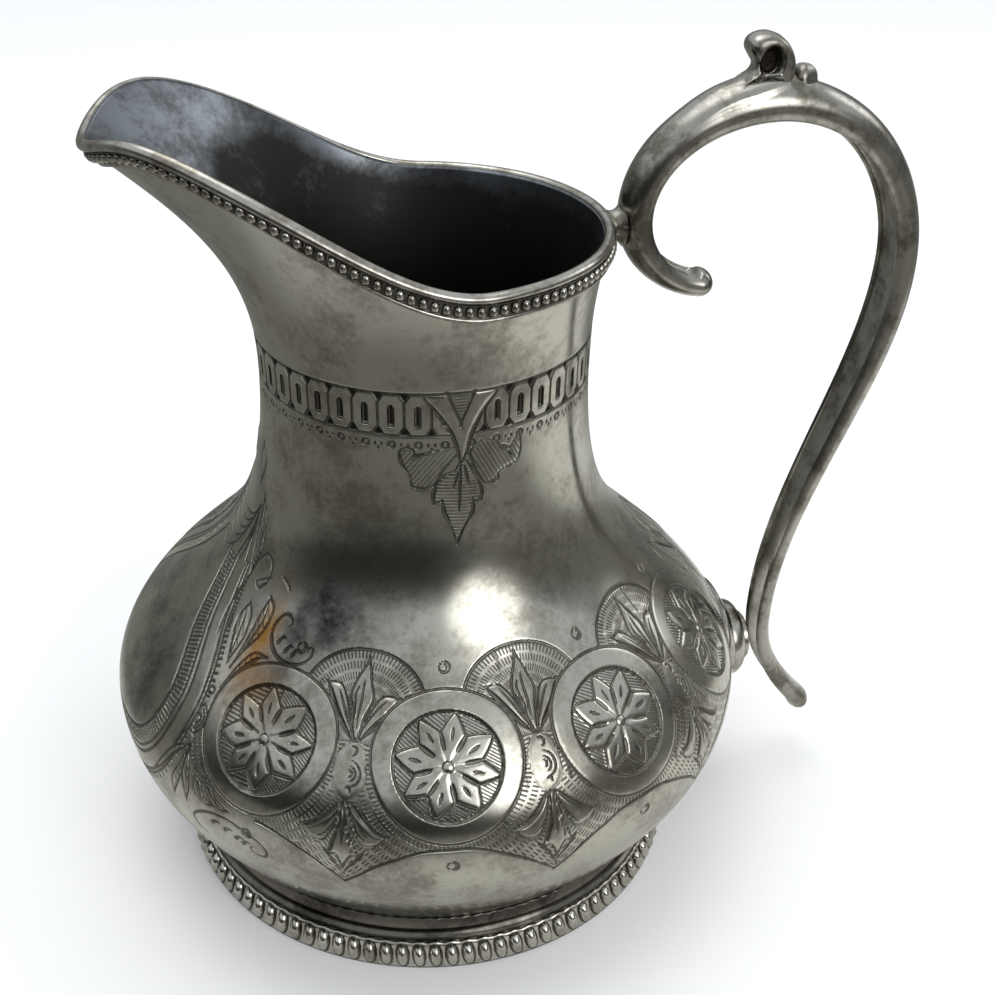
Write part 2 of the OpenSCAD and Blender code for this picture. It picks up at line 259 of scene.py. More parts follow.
def add_beads(mesh: Mesh, places: Sequence[Matrix], meridians: int, rings: int) -> None:
    """Sets beads on a strip.

    Args:
        mesh: The strip's mesh, in metres.
        places: For each bead what makes it from a ball of radius 1.
        meridians: Faces round a bead.
        rings: Faces from pole to pole.
    """
    bm = bmesh.new()
    bm.from_mesh(mesh)
    for place in places:
        bmesh.ops.create_uvsphere(bm, u_segments=meridians, v_segments=rings, radius=1.0, matrix=place)
    bm.to_mesh(mesh)
    bm.free()
    mesh.shade_smooth()


def mesh_points(mesh: Mesh) -> Array:
    """A mesh's points.

    Args:
        mesh: The mesh, in metres.

    Returns:
        Rows of three, in millimetres.
    """
    flat = np.empty(len(mesh.vertices) * 3)
    mesh.vertices.foreach_get("co", flat)
    return flat.reshape(-1, 3) / MM


def set_field(mesh: Mesh, name: str, values: Array) -> None:
    """Stores one number or one vector for each point of a mesh.

    Args:
        mesh: The mesh.
        name: The attribute's name, which a material reads.
        values: Numbers, or rows of three.
    """
    kind, key = ("FLOAT", "value") if values.ndim == 1 else ("FLOAT_VECTOR", "vector")
    layer = mesh.attributes.new(name, kind, "POINT")
    layer.data.foreach_set(key, np.ascontiguousarray(values, np.float32).ravel())


def put(name: str, data: bpy.types.ID) -> Piece:
    """Puts a new object in the scene.

    Args:
        name: Its name.
        data: Its mesh, lamp or camera.

    Returns:
        The object.
    """
    made = bpy.data.objects.new(name, data)
    bpy.context.scene.collection.objects.link(made)
    return made


def add_piece(mesh: Mesh, nodes: Sequence[str], materials: Sequence[Material]) -> Piece:
    """Puts a mesh in the scene as a piece of the jug; without a field of cuts it has none.

    Args:
        mesh: The mesh, in place.
        nodes: The solids that the piece stands for.
        materials: Its materials.

    Returns:
        The object.
    """
    if "cut" not in mesh.attributes:
        set_field(mesh, "cut", np.full(len(mesh.vertices), FAR))
    piece = put(mesh.name, mesh)
    for material in materials:
        mesh.materials.append(material)
    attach(piece, BODY)
    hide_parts(*nodes)
    return piece


# Finishes

# Settings that several nodes share.
SMOOTH = {"interpolation_type": "SMOOTHSTEP"}
RGBA = {"data_type": "RGBA"}
MULTIPLY = {"operation": "MULTIPLY"}
MULTIPLY_ADD = {"operation": "MULTIPLY_ADD"}
MAXIMUM = {"operation": "MAXIMUM"}
PINGPONG = {"operation": "PINGPONG"}


class Shader:
    """The node tree of a material or lamp and the one way nodes are added to it."""

    def __init__(self, owner: Material | bpy.types.Light) -> None:
        """Starts an empty tree.

        Args:
            owner: The material or lamp.
        """
        owner.use_nodes = True
        self.tree = owner.node_tree
        self.tree.nodes.clear()

    def node(self, kind: str, settings: dict | None = None, *inputs: object, out: int | str = 0,
             **links: object) -> Socket | None:
        """Adds a node.

        Args:
            kind: The node's type without its ShaderNode prefix.
            settings: The node's own properties.
            *inputs: A value or an output socket for each of the first inputs.
            out: Which output is wanted.
            **links: Input name, or in_ and its number, to a value or an output socket.

        Returns:
            That output, where there is one.
        """
        made = self.tree.nodes.new("ShaderNode" + kind)
        for key, value in (settings or {}).items():
            setattr(made, key, value)
        wanted = {f"in_{place}": value for place, value in enumerate(inputs)} | links
        for key, value in wanted.items():
            place = int(key[3:]) if key.startswith("in_") else key.replace("_", " ")
            if isinstance(value, Socket):
                self.tree.links.new(value, made.inputs[place])
            else:
                made.inputs[place].default_value = value
        return made.outputs[out] if made.outputs else None


@dataclass(frozen=True)
class PlateFinish:
    """Silver plate that has been polished, handled and left to tarnish.

    Rubbed silver gives a broad soft mirror; sulphide dulls it in warm grey clouds and stays black in
    every cut and seam that a polishing cloth can't reach.
    """

    name: str
    clean: str = "#b1b0a6"
    cloud: str = "#7b786f"
    black: str = "#26221b"
    # Blue-black painted shade: painted dark reflections outside and the painted dark depth inside.
    amber: str = "#93682c"
    painted_shade: str = "#1d2028"
    cloud_mm: float = 9.0
    cloud_share: float = 0.5
    speck_mm: float = 0.9
    speck_share: float = 0.36
    rough: Pair = (0.16, 0.34)
    rough_cut: float = 0.35
    rough_painted_shade: float = 0.22
    scratch_mm: float = 0.5
    scratch_depth: float = 0.5
    cut_edge: Pair = (-0.02, 0.09)
    cut_deep: Pair = (-0.22, -0.08)
    cut_mm: float = 0.2
    halo: float = 0.32
    halo_mm: float = 0.5
    hatch_dark: float = 0.66
    engraved: bool = False
    tinted_and_shaded: bool = False

    def material(self) -> Material:
        """Builds the finish.

        Returns:
            The material.
        """
        material = bpy.data.materials.new(self.name)
        s = Shader(material)
        at = s.node("TexCoord", out="Object")
        cloud = s.node("TexNoise", Vector=at, Scale=1 / (self.cloud_mm * MM), Detail=6.0, Roughness=0.62)
        speck = s.node("TexNoise", Vector=at, Scale=1 / (self.speck_mm * MM), Detail=3.0, Roughness=0.7)
        mottle = s.node("Math", MULTIPLY_ADD, speck, self.speck_share, cloud)
        shift = 0.18 * self.cloud_share
        tarnish = s.node("MapRange", SMOOTH, mottle, 0.64 - shift, 0.94 - shift)
        cut = s.node("Attribute", {"attribute_name": "cut"}, out="Fac")
        line = s.node("MapRange", SMOOTH, cut, *self.cut_edge, 1.0, 0.0)
        halo = s.node("MapRange", SMOOTH, cut, 0.0, self.halo_mm, self.halo, 0.0)
        worn = s.node("MapRange", None, speck, 0.3, 0.7, 0.85, 0.45)
        deep = s.node("MapRange", None, cut, *self.cut_deep, 0.97, 0.0)
        dark = s.node("Math", MULTIPLY, line, s.node("Math", MAXIMUM, worn, deep))
        if self.engraved:
            ticks = s.node("Math", MULTIPLY, self.hatching(s), self.hatch_dark)
            dark = s.node("Math", MAXIMUM, dark, ticks)
        dull = s.node("Math", MAXIMUM, tarnish, halo)
        colour = s.node("Mix", RGBA, Factor=dull, in_6=linear(self.clean), in_7=linear(self.cloud), out=2)
        # Soft amber, dull and blue-black patches read from a field on the wall; the blue-black layer is
        # painted shade, as painted dark reflections on the shoulder and a painted dark depth inside the jug.
        if self.tinted_and_shaded:
            tint_and_shade = s.node("Attribute", {"attribute_name": "tint_and_shade"}, out="Vector")
            tint_and_shade = s.node("SeparateXYZ", None, tint_and_shade).node.outputs
            patchy = s.node("MapRange", None, mottle, 0.45, 0.8)
            patchy = s.node("Math", MULTIPLY_ADD, patchy, 0.5, 0.6)
            layers = (("Z", self.cloud, 0.5), ("X", self.amber, 1.1), ("Y", self.painted_shade, 1.25))
            for axis, shade, depth in layers:
                share = s.node("Math", MULTIPLY, s.node("Math", MULTIPLY, tint_and_shade[axis], depth), patchy)
                colour = s.node("Mix", RGBA, Factor=share, in_6=colour, in_7=linear(shade), out=2)
        base = s.node("Mix", RGBA, Factor=dark, in_6=colour, in_7=linear(self.black), out=2)
        long_way = s.node("Mapping", Vector=at, Rotation=(0.5, 0.3, 0.9), Scale=(1.0, 0.06, 0.06))
        scratch = s.node("TexNoise", Vector=long_way, Scale=1 / (self.scratch_mm * MM),
                         Detail=4.0, Roughness=0.8)
        rough = s.node("MapRange", None, mottle, 0.45, 0.9, *self.rough)
        rough = s.node("Math", MULTIPLY_ADD, dark, self.rough_cut, rough)
        if self.tinted_and_shaded:
            rough = s.node("Math", MULTIPLY_ADD, tint_and_shade["Y"], self.rough_painted_shade, rough)
        groove = s.node("Math", MAXIMUM, line, dark)
        groove = s.node("Math", MULTIPLY, groove, -1.0)
        height = s.node("Math", MULTIPLY_ADD, scratch, 0.012 * self.scratch_depth, groove)
        bump = s.node("Bump", Height=height, Strength=0.8, Distance=self.cut_mm * MM)
        shader = s.node("BsdfPrincipled", Base_Color=base, Roughness=rough, Metallic=1.0, Normal=bump)
        s.node("OutputMaterial", Surface=shader)
        return material

    @staticmethod
    def hatching(s: Shader) -> Socket:
        """Fine graver ticks in rows, drawn from the wall's own ruling.

        Args:
            s: The shader that they belong to.

        Returns:
            1 in a tick and 0 beside it.
        """
        ruling = s.node("Attribute", {"attribute_name": "hatch"}, out="Vector")
        ruling = s.node("SeparateXYZ", None, ruling).node.outputs
        tick = s.node("Math", PINGPONG, ruling["X"], 0.5)
        tick = s.node("MapRange", SMOOTH, tick, 0.1, 0.24, 1.0, 0.0)
        gap = s.node("Math", PINGPONG, ruling["Y"], 0.5)
        gap = s.node("MapRange", SMOOTH, gap, 0.12, 0.24)
        ticks = s.node("Math", MULTIPLY, tick, gap)
        return s.node("Math", MULTIPLY, ticks, ruling["Z"])


ENGRAVED = PlateFinish("engraved_silver_plate", cloud="#807d74", cloud_share=0.42, rough=(0.1, 0.27),
                       engraved=True, tinted_and_shaded=True)
# Darker, bluer plate for the inside: painted shade, with a blue-black painted-shade colour for its depth.
INSIDE_PAINTED_SHADE = PlateFinish("inside_silver_plate", clean="#6f7479", cloud="#464749", painted_shade="#302f2d", cloud_mm=10.0,
                     rough=(0.24, 0.4), tinted_and_shaded=True)
# Dark plate on the foot ring: a painted dark reflection in its hollow moulding.
FOOT_PAINTED_DARK = PlateFinish("foot_plate_painted_dark", clean="#64615b", cloud="#383530", rough=(0.04, 0.1), cloud_share=0.3)
BEADS = PlateFinish("bead_silver_plate", clean="#b2b0a9", cloud="#807c72", cloud_mm=4.0, rough=(0.14, 0.28))
# Paler plate on the foot beads: a painted bright reflection of the floor.
FOOT_BEADS_PAINTED_LIGHT = PlateFinish("foot_bead_plate_painted_light", clean="#c4c2bb", cloud="#98958b", cloud_mm=4.0,
                         rough=(0.12, 0.24), cloud_share=0.3)
HANDLE = PlateFinish("worn_handle_plate", clean="#a09e97", cloud="#6a675e", cloud_mm=5.0, rough=(0.15, 0.32),
                     cloud_share=0.4, scratch_depth=1.2)
BOSS = PlateFinish("boss_silver_plate", clean="#acaaa3", cloud="#747168", cloud_mm=5.0, rough=(0.12, 0.28))


# Engraving


class Taper(Enum):
    """How a cut's width runs along its length."""

    EVEN = "even"
    SWELL = "swell"
    TAIL = "tail"

    def at(self, t: Array) -> Array:
        """How wide a cut is along its length.

        Args:
            t: Shares of the length.

        Returns:
            Shares of the full width.
        """
        if self is Taper.EVEN:
            return np.ones_like(t)
        if self is Taper.SWELL:
            return np.sqrt(np.clip(np.sin(np.pi * np.clip(t, 0, 1)), 0, 1))
        return np.sqrt(np.clip(1 - t, 0, 1))


class Engraver:
    """Cuts lines and leaves into a patch of the wall that is laid out flat."""

    def __init__(self, u: Array, v: Array) -> None:
        """Starts a plain patch.

        Args:
            u: Millimetres round the jug for each point.
            v: Millimetres up the wall for each point.
        """
        self.u = u
        self.v = v
        self.cut = np.full(u.shape, FAR)
        self.relief = np.zeros(u.shape)
        self.hatch = np.zeros(u.shape + (3,))

    def near(self, line: Array, reach: float) -> Array:
        """Which points lie in the box round a line, with some reach to spare."""
        low, high = line.min(0) - reach, line.max(0) + reach
        return np.nonzero((self.u > low[0]) & (self.u < high[0]) & (self.v > low[1]) & (self.v < high[1]))

    def etch(self, gap: Array) -> None:
        """Cuts where a distance for every point is below 0."""
        self.cut = np.minimum(self.cut, gap)

    def rule(self, at: Array, along: Array, row: Array | float, strength: Array | float) -> None:
        """Rules fine lines.

        Args:
            at: Where to.
            along: Which line each point is on.
            row: Which row of ticks it is in, or a half for lines that don't break.
            strength: How dark the lines are, 0 for none.
        """
        for layer, values in enumerate((along, row, strength)):
            self.hatch[..., layer] = np.where(at, values, self.hatch[..., layer])

    def measure(self, line: Array, at: tuple, width: float, taper: Taper) -> Array:
        """Distance from points to the edge of a line of some width.

        Args:
            line: The line's points.
            at: Which points of the patch.
            width: The line's full width.
            taper: How the width runs.

        Returns:
            The distance for each point, below 0 inside the line.
        """
        u, v = self.u[at], self.v[at]
        run = run_along(line)
        best = np.full(u.shape, FAR)
        for a, b, start, end in zip(line[:-1], line[1:], run[:-1], run[1:]):
            d = b - a
            size = max(float(d @ d), 1e-9)
            t = np.clip(((u - a[0]) * d[0] + (v - a[1]) * d[1]) / size, 0, 1)
            gap = np.hypot(u - a[0] - t * d[0], v - a[1] - t * d[1])
            best = np.minimum(best, gap - width / 2 * taper.at((start + t * (end - start)) / run[-1]))
        return best

    def stroke(self, points: Points, width: float = 0.3, taper: Taper = Taper.SWELL) -> None:
        """Cuts a smooth line.

        Args:
            points: The points that it goes through.
            width: Its full width.
            taper: How its width runs.
        """
        line = spline(points)
        at = self.near(line, width + 0.7)
        self.cut[at] = np.minimum(self.cut[at], self.measure(line, at, width, taper))

    def leaf(self, points: Points, rise: float = 0.12, edge: float = 0.2, hatch: float = 0.0,
             lean: float = 0.0, pitch: float = 0.55) -> None:
        """Raises a smooth closed shape out of the ground and cuts its edge.

        Args:
            points: The shape's outline, anticlockwise or not.
            rise: How far it stands up.
            edge: Width of the cut along its edge.
            hatch: Strength of fine lines across it, 0 for none.
            lean: Direction of those lines, in degrees.
            pitch: Spacing of those lines.
        """
        line = spline(points, closed=True)
        at = self.near(line, 0.9)
        gap = self.measure(line, at, 0.0, Taper.EVEN)
        inside = self.inside(line, at)
        depth = np.where(inside, gap, -gap)
        self.relief[at] = np.maximum(self.relief[at] * (1 - step_up(depth, -0.1, 0.1)),
                                     rise * step_up(depth, 0.0, 0.7))
        turn = math.radians(lean)
        along = (self.u[at] * math.cos(turn) + self.v[at] * math.sin(turn)) / pitch
        for layer, values in enumerate((along, 0.5, hatch)):
            self.hatch[at[0], layer] = np.where(inside, values, self.hatch[at[0], layer])
        self.cut[at] = np.where(inside, np.maximum(self.cut[at], np.minimum(gap, FAR)), self.cut[at])
        if edge > 0:
            self.cut[at] = np.minimum(self.cut[at], gap - edge / 2)

    def inside(self, line: Array, at: tuple) -> Array:
        """Finds the points inside a closed line, by counting crossings.

        Args:
            line: The line's points.
            at: Which points of the patch.

        Returns:
            Whether each point is inside.
        """
        u, v = self.u[at], self.v[at]
        odd = np.zeros(u.shape, bool)
        for a, b in zip(line[:-1], line[1:]):
            if a[1] == b[1]:
                continue
            cross = (a[1] > v) != (b[1] > v)
            odd ^= cross & (u < (b[0] - a[0]) * (v - a[1]) / (b[1] - a[1]) + a[0])
        return odd

    def pellet(self, centre: Sequence[float], radius: float, rise: float = 0.12) -> None:
        """Raises a small round pellet with a cut round it.

        Args:
            centre: Its middle.
            radius: Its radius.
            rise: How far it stands up.
        """
        gap = np.hypot(self.u - centre[0], self.v - centre[1]) - radius
        self.relief = np.maximum(self.relief, rise * step_up(-gap, 0, radius))
        self.cut = np.where(gap < 0, np.maximum(self.cut, -gap), self.cut)
        self.etch(np.abs(gap) - 0.09)


@dataclass
class BodyForm:
    """Sizes of the body's wall: belly, neck, spout and floor."""

    wall: float = 1.0
    seat_r: float = 34.2
    belly_r: float = 45.0
    belly_z: float = 28.3
    shoulder_r: float = 30.5
    shoulder_z: float = 48.0
    shoulder_slope: float = 48.0
    shoulder_pull: float = 6.9
    neck_r: float = 22.0
    neck_z: float = 76.0
    foot_h: float = 7.5
    seat_rise: float = 4.8
    seat_spread: float = 3.4
    belly_low: float = 9.3
    belly_high: float = 8.3
    neck_low: float = 18.0
    rim_r: float = 24.0
    rim_z: float = 93.8
    spout_reach: float = 16.9
    spout_angle: float = 47.0
    spout_power: float = 1.75
    spout_rise: float = 19.6
    rise_span: float = 100.0
    lip_drop: float = 5.6
    lip_angle: float = 16.0
    waist_pull: float = 0.45
    flare_pull: float = 0.33
    flare_out: float = 0.345
    tuck: float = 0.48
    sectors: int = 8
    sector_columns: int = 150
    curve_steps: int = 700
    fine: float = 0.22
    coarse: float = 0.7

    @property
    def columns(self) -> int:
        """Columns in a full turn."""
        return self.sectors * self.sector_columns

    def curves(self) -> list[Points]:
        """The outline's three curves from the foot to the neck's waist.

        Returns:
            Four (radius, height) control points for each curve.
        """
        turn = math.radians(self.shoulder_slope)
        pull = self.shoulder_pull * np.array([math.cos(turn), -math.sin(turn)])
        seat, belly, shoulder, neck = np.array([
            (self.seat_r, self.foot_h), (self.belly_r, self.belly_z), (self.shoulder_r, self.shoulder_z),
            (self.neck_r, self.neck_z)])
        return [[seat, seat + (self.seat_spread, self.seat_rise), belly - (0, self.belly_low), belly],
                [belly, belly + (0, self.belly_high), shoulder + pull, shoulder],
                [shoulder, shoulder - pull, neck - (0, self.neck_low), neck]]

    def rim_reach(self, angle: Array) -> Array:
        """The rim's radius at an angle."""
        off = np.abs((np.asarray(angle, float) + 180) % 360 - 180)
        return self.rim_r + self.spout_reach * np.exp(-(off / self.spout_angle) ** self.spout_power)

    def rim_rise(self, angle: Array) -> Array:
        """The rim's height.

        Args:
            angle: Angles from the spout.

        Returns:
            The height at each.
        """
        off = np.abs((np.asarray(angle, float) + 180) % 360 - 180)
        wave = (1 + np.cos(np.pi * np.minimum(off, self.rise_span) / self.rise_span)) / 2
        return self.rim_z + self.spout_rise * wave - self.lip_drop * np.exp(-(off / self.lip_angle) ** 2)

    def ribs(self, angle: Array) -> Array:
        """Curves from the neck's waist to the rim at some angles.

        Args:
            angle: The angles.

        Returns:
            Four control points, each for every angle.
        """
        r, z = self.rim_reach(angle), self.rim_rise(angle)
        h = z - self.neck_z
        n = np.full_like(r, self.neck_r)
        low = np.stack([n, n * 0 + self.neck_z], -1)
        waist = np.stack([n, self.neck_z + self.waist_pull * h], -1)
        flare = np.stack([n + self.flare_out * (r - n), z - self.flare_pull * h], -1)
        return np.stack([low, waist, flare, np.stack([r, z], -1)])

    def outline(self) -> tuple[Array, Array, Array]:
        """The outline from foot to neck in fine steps.

        Returns:
            Points, outward normals and lengths along it.
        """
        t = np.linspace(0, 1, self.curve_steps)
        points = np.vstack([bezier(c, t) for c in self.curves()])
        normals = np.vstack([right_of(bezier_slope(c, t)) for c in self.curves()])
        return points, normals, run_along(points)

    def belly_at(self, height: Array) -> Array:
        """The outside radius at heights up to the neck."""
        points, _, _ = self.outline()
        return np.interp(height, points[:, 1], points[:, 0])


@dataclass
class Frieze:
    """Round medallions with rosettes, joined by palmettes on hatched ground, round the belly."""

    first: float = 48.0
    pitch: float = 35.0
    count: int = 4
    centre_z: float = 39.0
    ring_r: float = 9.7
    disc_r: float = 6.9
    petals: int = 8
    petal_broad: float = 0.6
    heart_r: float = 2.0
    lobe_r: float = 8.3
    lobe_v: float = 5.9
    point_v: float = -17.2
    crown_v: float = -10.4
    arch_slope: float = 1.35
    tick: float = 0.54
    tick_row: float = 1.3
    clear: float = 2.0
    sway: float = 0.07
    dot_high: float = 12.4
    dot_low: float = -13.0

    def medallions(self) -> Array:
        """The medallions' angles on the near side."""
        return self.first + self.pitch * np.arange(self.count)

    def points(self) -> Array:
        """Angles of the downward points, with one under the handle."""
        between = self.first + self.pitch * (np.arange(self.count) - 0.5)
        return np.append(between, 180.0)

    def carve(self, angle: Array, radius: Array, run: Array, zero: float) -> Engraver:
        """Engraves the frieze.

        Args:
            angle: Angle of each point, folded to one side.
            radius: Radius of each point.
            run: Length up the wall to each point.
            zero: That length at the medallions' centres.

        Returns:
            The engraved patch.
        """
        v = run - zero
        rad = np.radians(1) * radius
        centres, points = self.medallions(), self.points()
        which = np.argmin(np.abs(angle[:, None] - centres), axis=1)
        um = (angle - centres[which]) * rad
        reach = np.hypot(um, v)
        turn = np.arctan2(v, um)
        spot = np.argmin(np.abs(angle[:, None] - points), axis=1)
        us = np.where(angle < self.first, FAR_OFF, (angle - points[spot]) * rad)
        sway = self.sway * np.sin(1.3 * v + 0.21 * angle)
        e = Engraver(us + sway, v + self.sway * np.sin(0.9 * us + 0.4 * v))
        left = np.clip(np.searchsorted(points, angle) - 1, 0, len(points) - 2)
        share = np.clip((angle - points[left]) / (points[left + 1] - points[left]), 0, 1)
        arch = self.point_v + (self.crown_v - self.point_v) * (1 - np.abs(2 * share - 1) ** 2.2)
        lobe = np.hypot(us, v - self.lobe_v)
        on = angle > self.first + self.clear
        ground = on & (reach > self.ring_r) & (v > arch) & ((lobe < self.lobe_r) | (v < self.lobe_v - 2))
        beside = (angle < self.first) & (reach > self.ring_r) & (reach < self.ring_r + 2)
        ground |= beside & (v > -8) & (v < 0)
        high = v > 2.5
        row = np.where(high, self.lobe_r - lobe, reach - self.ring_r)
        tier = np.floor(row / self.tick_row)
        low_r = self.ring_r + (tier + 0.5) * self.tick_row
        bearing = np.where(high, np.arctan2(v - self.lobe_v, us) * self.lobe_r, turn * low_r)
        along = bearing / self.tick + 0.5 * (tier % 2) + 0.25 * np.sin(0.5 * bearing + tier)
        e.rule(np.ones_like(ground), along, row / self.tick_row, ground)
        e.relief -= 0.07 * ground
        self.palmette(e)
        self.edges(e, on, reach, lobe, arch)
        for level, size in ((self.dot_high, 0.5), (self.dot_low, 0.55)):
            eye = np.hypot(um, v - level)
            e.etch(np.where(eye < 2, np.abs(eye - size) - 0.06, FAR))
            outer = np.hypot(um - 0.15, v - level) - size - 0.3
            inner = size + 0.22 - np.hypot(um + 0.1, v - level)
            e.etch(np.where(eye < 2, np.maximum(outer, inner), FAR))
        self.rosette(e, which, on | (angle > self.first - self.pitch / 2), reach, turn)
        return e

    def edges(self, e: Engraver, on: Array, reach: Array, lobe: Array, arch: Array) -> None:
        """Cuts the lobes' and arches' outlines where no medallion covers them.

        Args:
            e: The patch.
            on: Where the frieze is.
            reach: Distance from the nearest medallion's centre.
            lobe: Distance from the nearest lobe's centre.
            arch: Height of the arches' line.
        """
        clear = on & (reach > self.ring_r)
        e.etch(np.where(clear & (e.v > 3), np.abs(lobe - self.lobe_r) - 0.14, FAR))
        e.etch(np.where(clear & (e.v < 0), np.abs(e.v - arch) / self.arch_slope - 0.12, FAR))

    def rosette(self, e: Engraver, which: Array, on: Array, reach: Array, turn: Array) -> None:
        """Cuts each medallion's rings, sinks its ground and raises its petals.

        Args:
            e: The patch.
            which: The nearest medallion for each point.
            on: Where medallions are.
            reach: Distance from that medallion's centre.
            turn: Bearing from that centre.
        """
        disc = on & (reach < self.ring_r + 0.15)
        e.relief = np.where(disc, 0.05 * step_up(self.ring_r - reach, 0.0, 0.5), e.relief)
        e.hatch[..., 2] = np.where(disc, 0, e.hatch[..., 2])
        e.cut = np.where(disc, FAR, e.cut)
        step = math.tau / self.petals
        lean = 0.18 + 0.37 * which
        bearing = np.abs((turn + 0.05 * np.sin(3 * turn + which) - lean + step / 2) % step - step / 2)
        along, across = reach * np.cos(bearing), reach * np.sin(bearing)
        tip = self.disc_r - 0.12
        broad = self.petal_broad * tip
        taper = np.clip((tip - along) / (tip - broad), 0, 1) ** 0.72
        half = np.minimum(along * math.tan(step / 2), broad * math.tan(step / 2) * taper)
        gap = half - across
        inner = on & (reach < self.disc_r)
        petal = inner & (gap > 0)
        ground = inner & ~petal & (along > broad)
        e.relief = np.where(inner, -0.1 * step_up(self.disc_r - reach, 0.0, 0.3), e.relief)
        e.relief = np.where(petal, -0.08 + 0.1 * step_up(gap, 0.0, 0.55), e.relief)
        e.relief = np.where(ground, -0.08 - 0.16 * step_up(-gap, 0.0, 0.3), e.relief)
        e.rule(ground, (0.8 * e.v + 0.6 * e.u) / 0.42, 0.5, 1.0)
        swell = np.clip((reach - self.heart_r) / (broad + 0.4 - self.heart_r), 0, 1)
        slit = 0.24 * np.sqrt(np.clip(np.sin(math.pi * swell), 0, 1))
        width = np.where(along > broad, 0.09, slit)
        edge = np.where(inner & (reach > self.heart_r), np.abs(gap) * 0.9 - width, FAR)
        long = 4.0 + 0.25 * np.sin(9 * turn + which)
        spread = 0.15 * (1 - ((along - long) / 0.85) ** 2)
        vein = np.where(petal, np.maximum(across - spread, np.abs(along - long) - 0.85), FAR)
        rings = np.minimum(np.abs(reach - self.disc_r) - 0.13, np.abs(reach - self.ring_r) - 0.12)
        rings = np.where(on, rings, FAR)
        for gap in (edge, vein, rings):
            e.etch(gap)
        dot = 0.62 - reach
        e.relief = np.where(on & (dot > -0.25), 0.12 * step_up(dot, -0.1, 0.5), e.relief)
        e.cut = np.where(on & (dot > -0.3), np.abs(dot + 0.1) - 0.06, e.cut)

    def palmette(self, e: Engraver) -> None:
        """Cuts the leaves between two medallions, each place in millimetres from its middle.

        Args:
            e: The patch.
        """
        bud = [(0, 2.6), (-0.55, 4.2), (-0.75, 6.0), (-1.55, 8.2), (-1.1, 9.9), (0.1, 12.9), (0.1, 12.9),
               (1.0, 9.9), (1.45, 8.2), (0.8, 6.0), (0.55, 4.2)]
        e.leaf(bud)
        e.stroke([(0.0, 4.2), (-0.1, 6.4), (0.1, 10.4)], 0.24)
        e.stroke([(-0.45, 5.6), (-0.95, 8.2), (-0.5, 9.6)], 0.2)
        for side in (-1, 1):
            lift = 0.9 if side < 0 else 0.0
            leaf = [(0.4, 2.8), (1.9, 4.2 + lift / 2), (3.5, 6.0 + lift), (4.8, 8.4 + lift),
                    (4.8, 8.4 + lift), (3.0, 8.6 + lift), (1.7, 7.2), (0.9, 4.8)]
            e.leaf(np.multiply(leaf, (side, 1)), edge=0.14)
            for points, width in (
                    ([(4.7, 8.2 + lift), (3.5, 6.2 + lift), (2.1, 4.5 + lift / 2), (0.8, 3.2)], 0.6),
                    ([(0.9, 4.4), (1.9, 6.4), (3.2, 8.0 + lift)], 0.2)):
                e.stroke(np.multiply(points, (side, 1)), width)
            low = [(0.5, -5.0), (2.4, -6.6), (4.2, -8.0), (5.6, -8.6), (5.6, -8.6), (4.4, -10.0),
                   (2.6, -10.2), (1.5, -8.4)]
            e.leaf(np.multiply(low, (side, 1)), edge=0.14)
            for points, width, taper in (
                    ([(0.9, -5.4), (2.4, -6.9), (3.9, -8.3), (5.3, -8.8)], 0.56, Taper.SWELL),
                    ([(1.0, -7.0), (2.0, -8.8), (3.2, -9.8)], 0.2, Taper.SWELL),
                    ([(2.6, -11.4), (1.2, -13.2), (0, -15.2)], 0.34, Taper.TAIL)):
                e.stroke(np.multiply(points, (side, 1)), width, taper)
        tail = [(0, -4.6), (-0.6, -6.6), (-0.8, -8.6), (-1.5, -10.4), (-1.9, -12.0), (-0.9, -12.0),
                (0, -14.0), (0, -14.0), (0.9, -12.0), (1.9, -12.0), (1.5, -10.4), (0.8, -8.6), (0.6, -6.6)]
        e.leaf(tail, edge=0.16)
        e.stroke([(0, -5.4), (0, -8.0), (0, -10.4)], 0.3)
        e.stroke([(-0.7, -8.6), (-1.3, -10.4), (-1.6, -11.6)], 0.36)
        e.stroke([(0.4, -8.0), (0.9, -10.0), (1.1, -11.4)], 0.2)
        waist = [(0, 2.6), (1.5, 1.4), (2.1, -1.2), (1.6, -3.6), (0, -4.8), (-1.6, -3.6), (-2.1, -1.2),
                 (-1.5, 1.4)]
        e.leaf(waist, rise=0.05, edge=0.0)
        for size in (0.45, 0.95, 1.6):
            bearings = np.radians(range(-80, 90, 32))
            e.stroke([(size * math.cos(b) - 0.2, -1.4 + 1.1 * size * math.sin(b)) for b in bearings], 0.19)
        e.stroke([(-0.3, 2.1), (0.4, 1.9), (0.5, 1.2), (0.1, 0.8)], 0.22)
        e.stroke([(-0.4, -3.3), (0.2, -3.2), (0.4, -3.8)], 0.22)


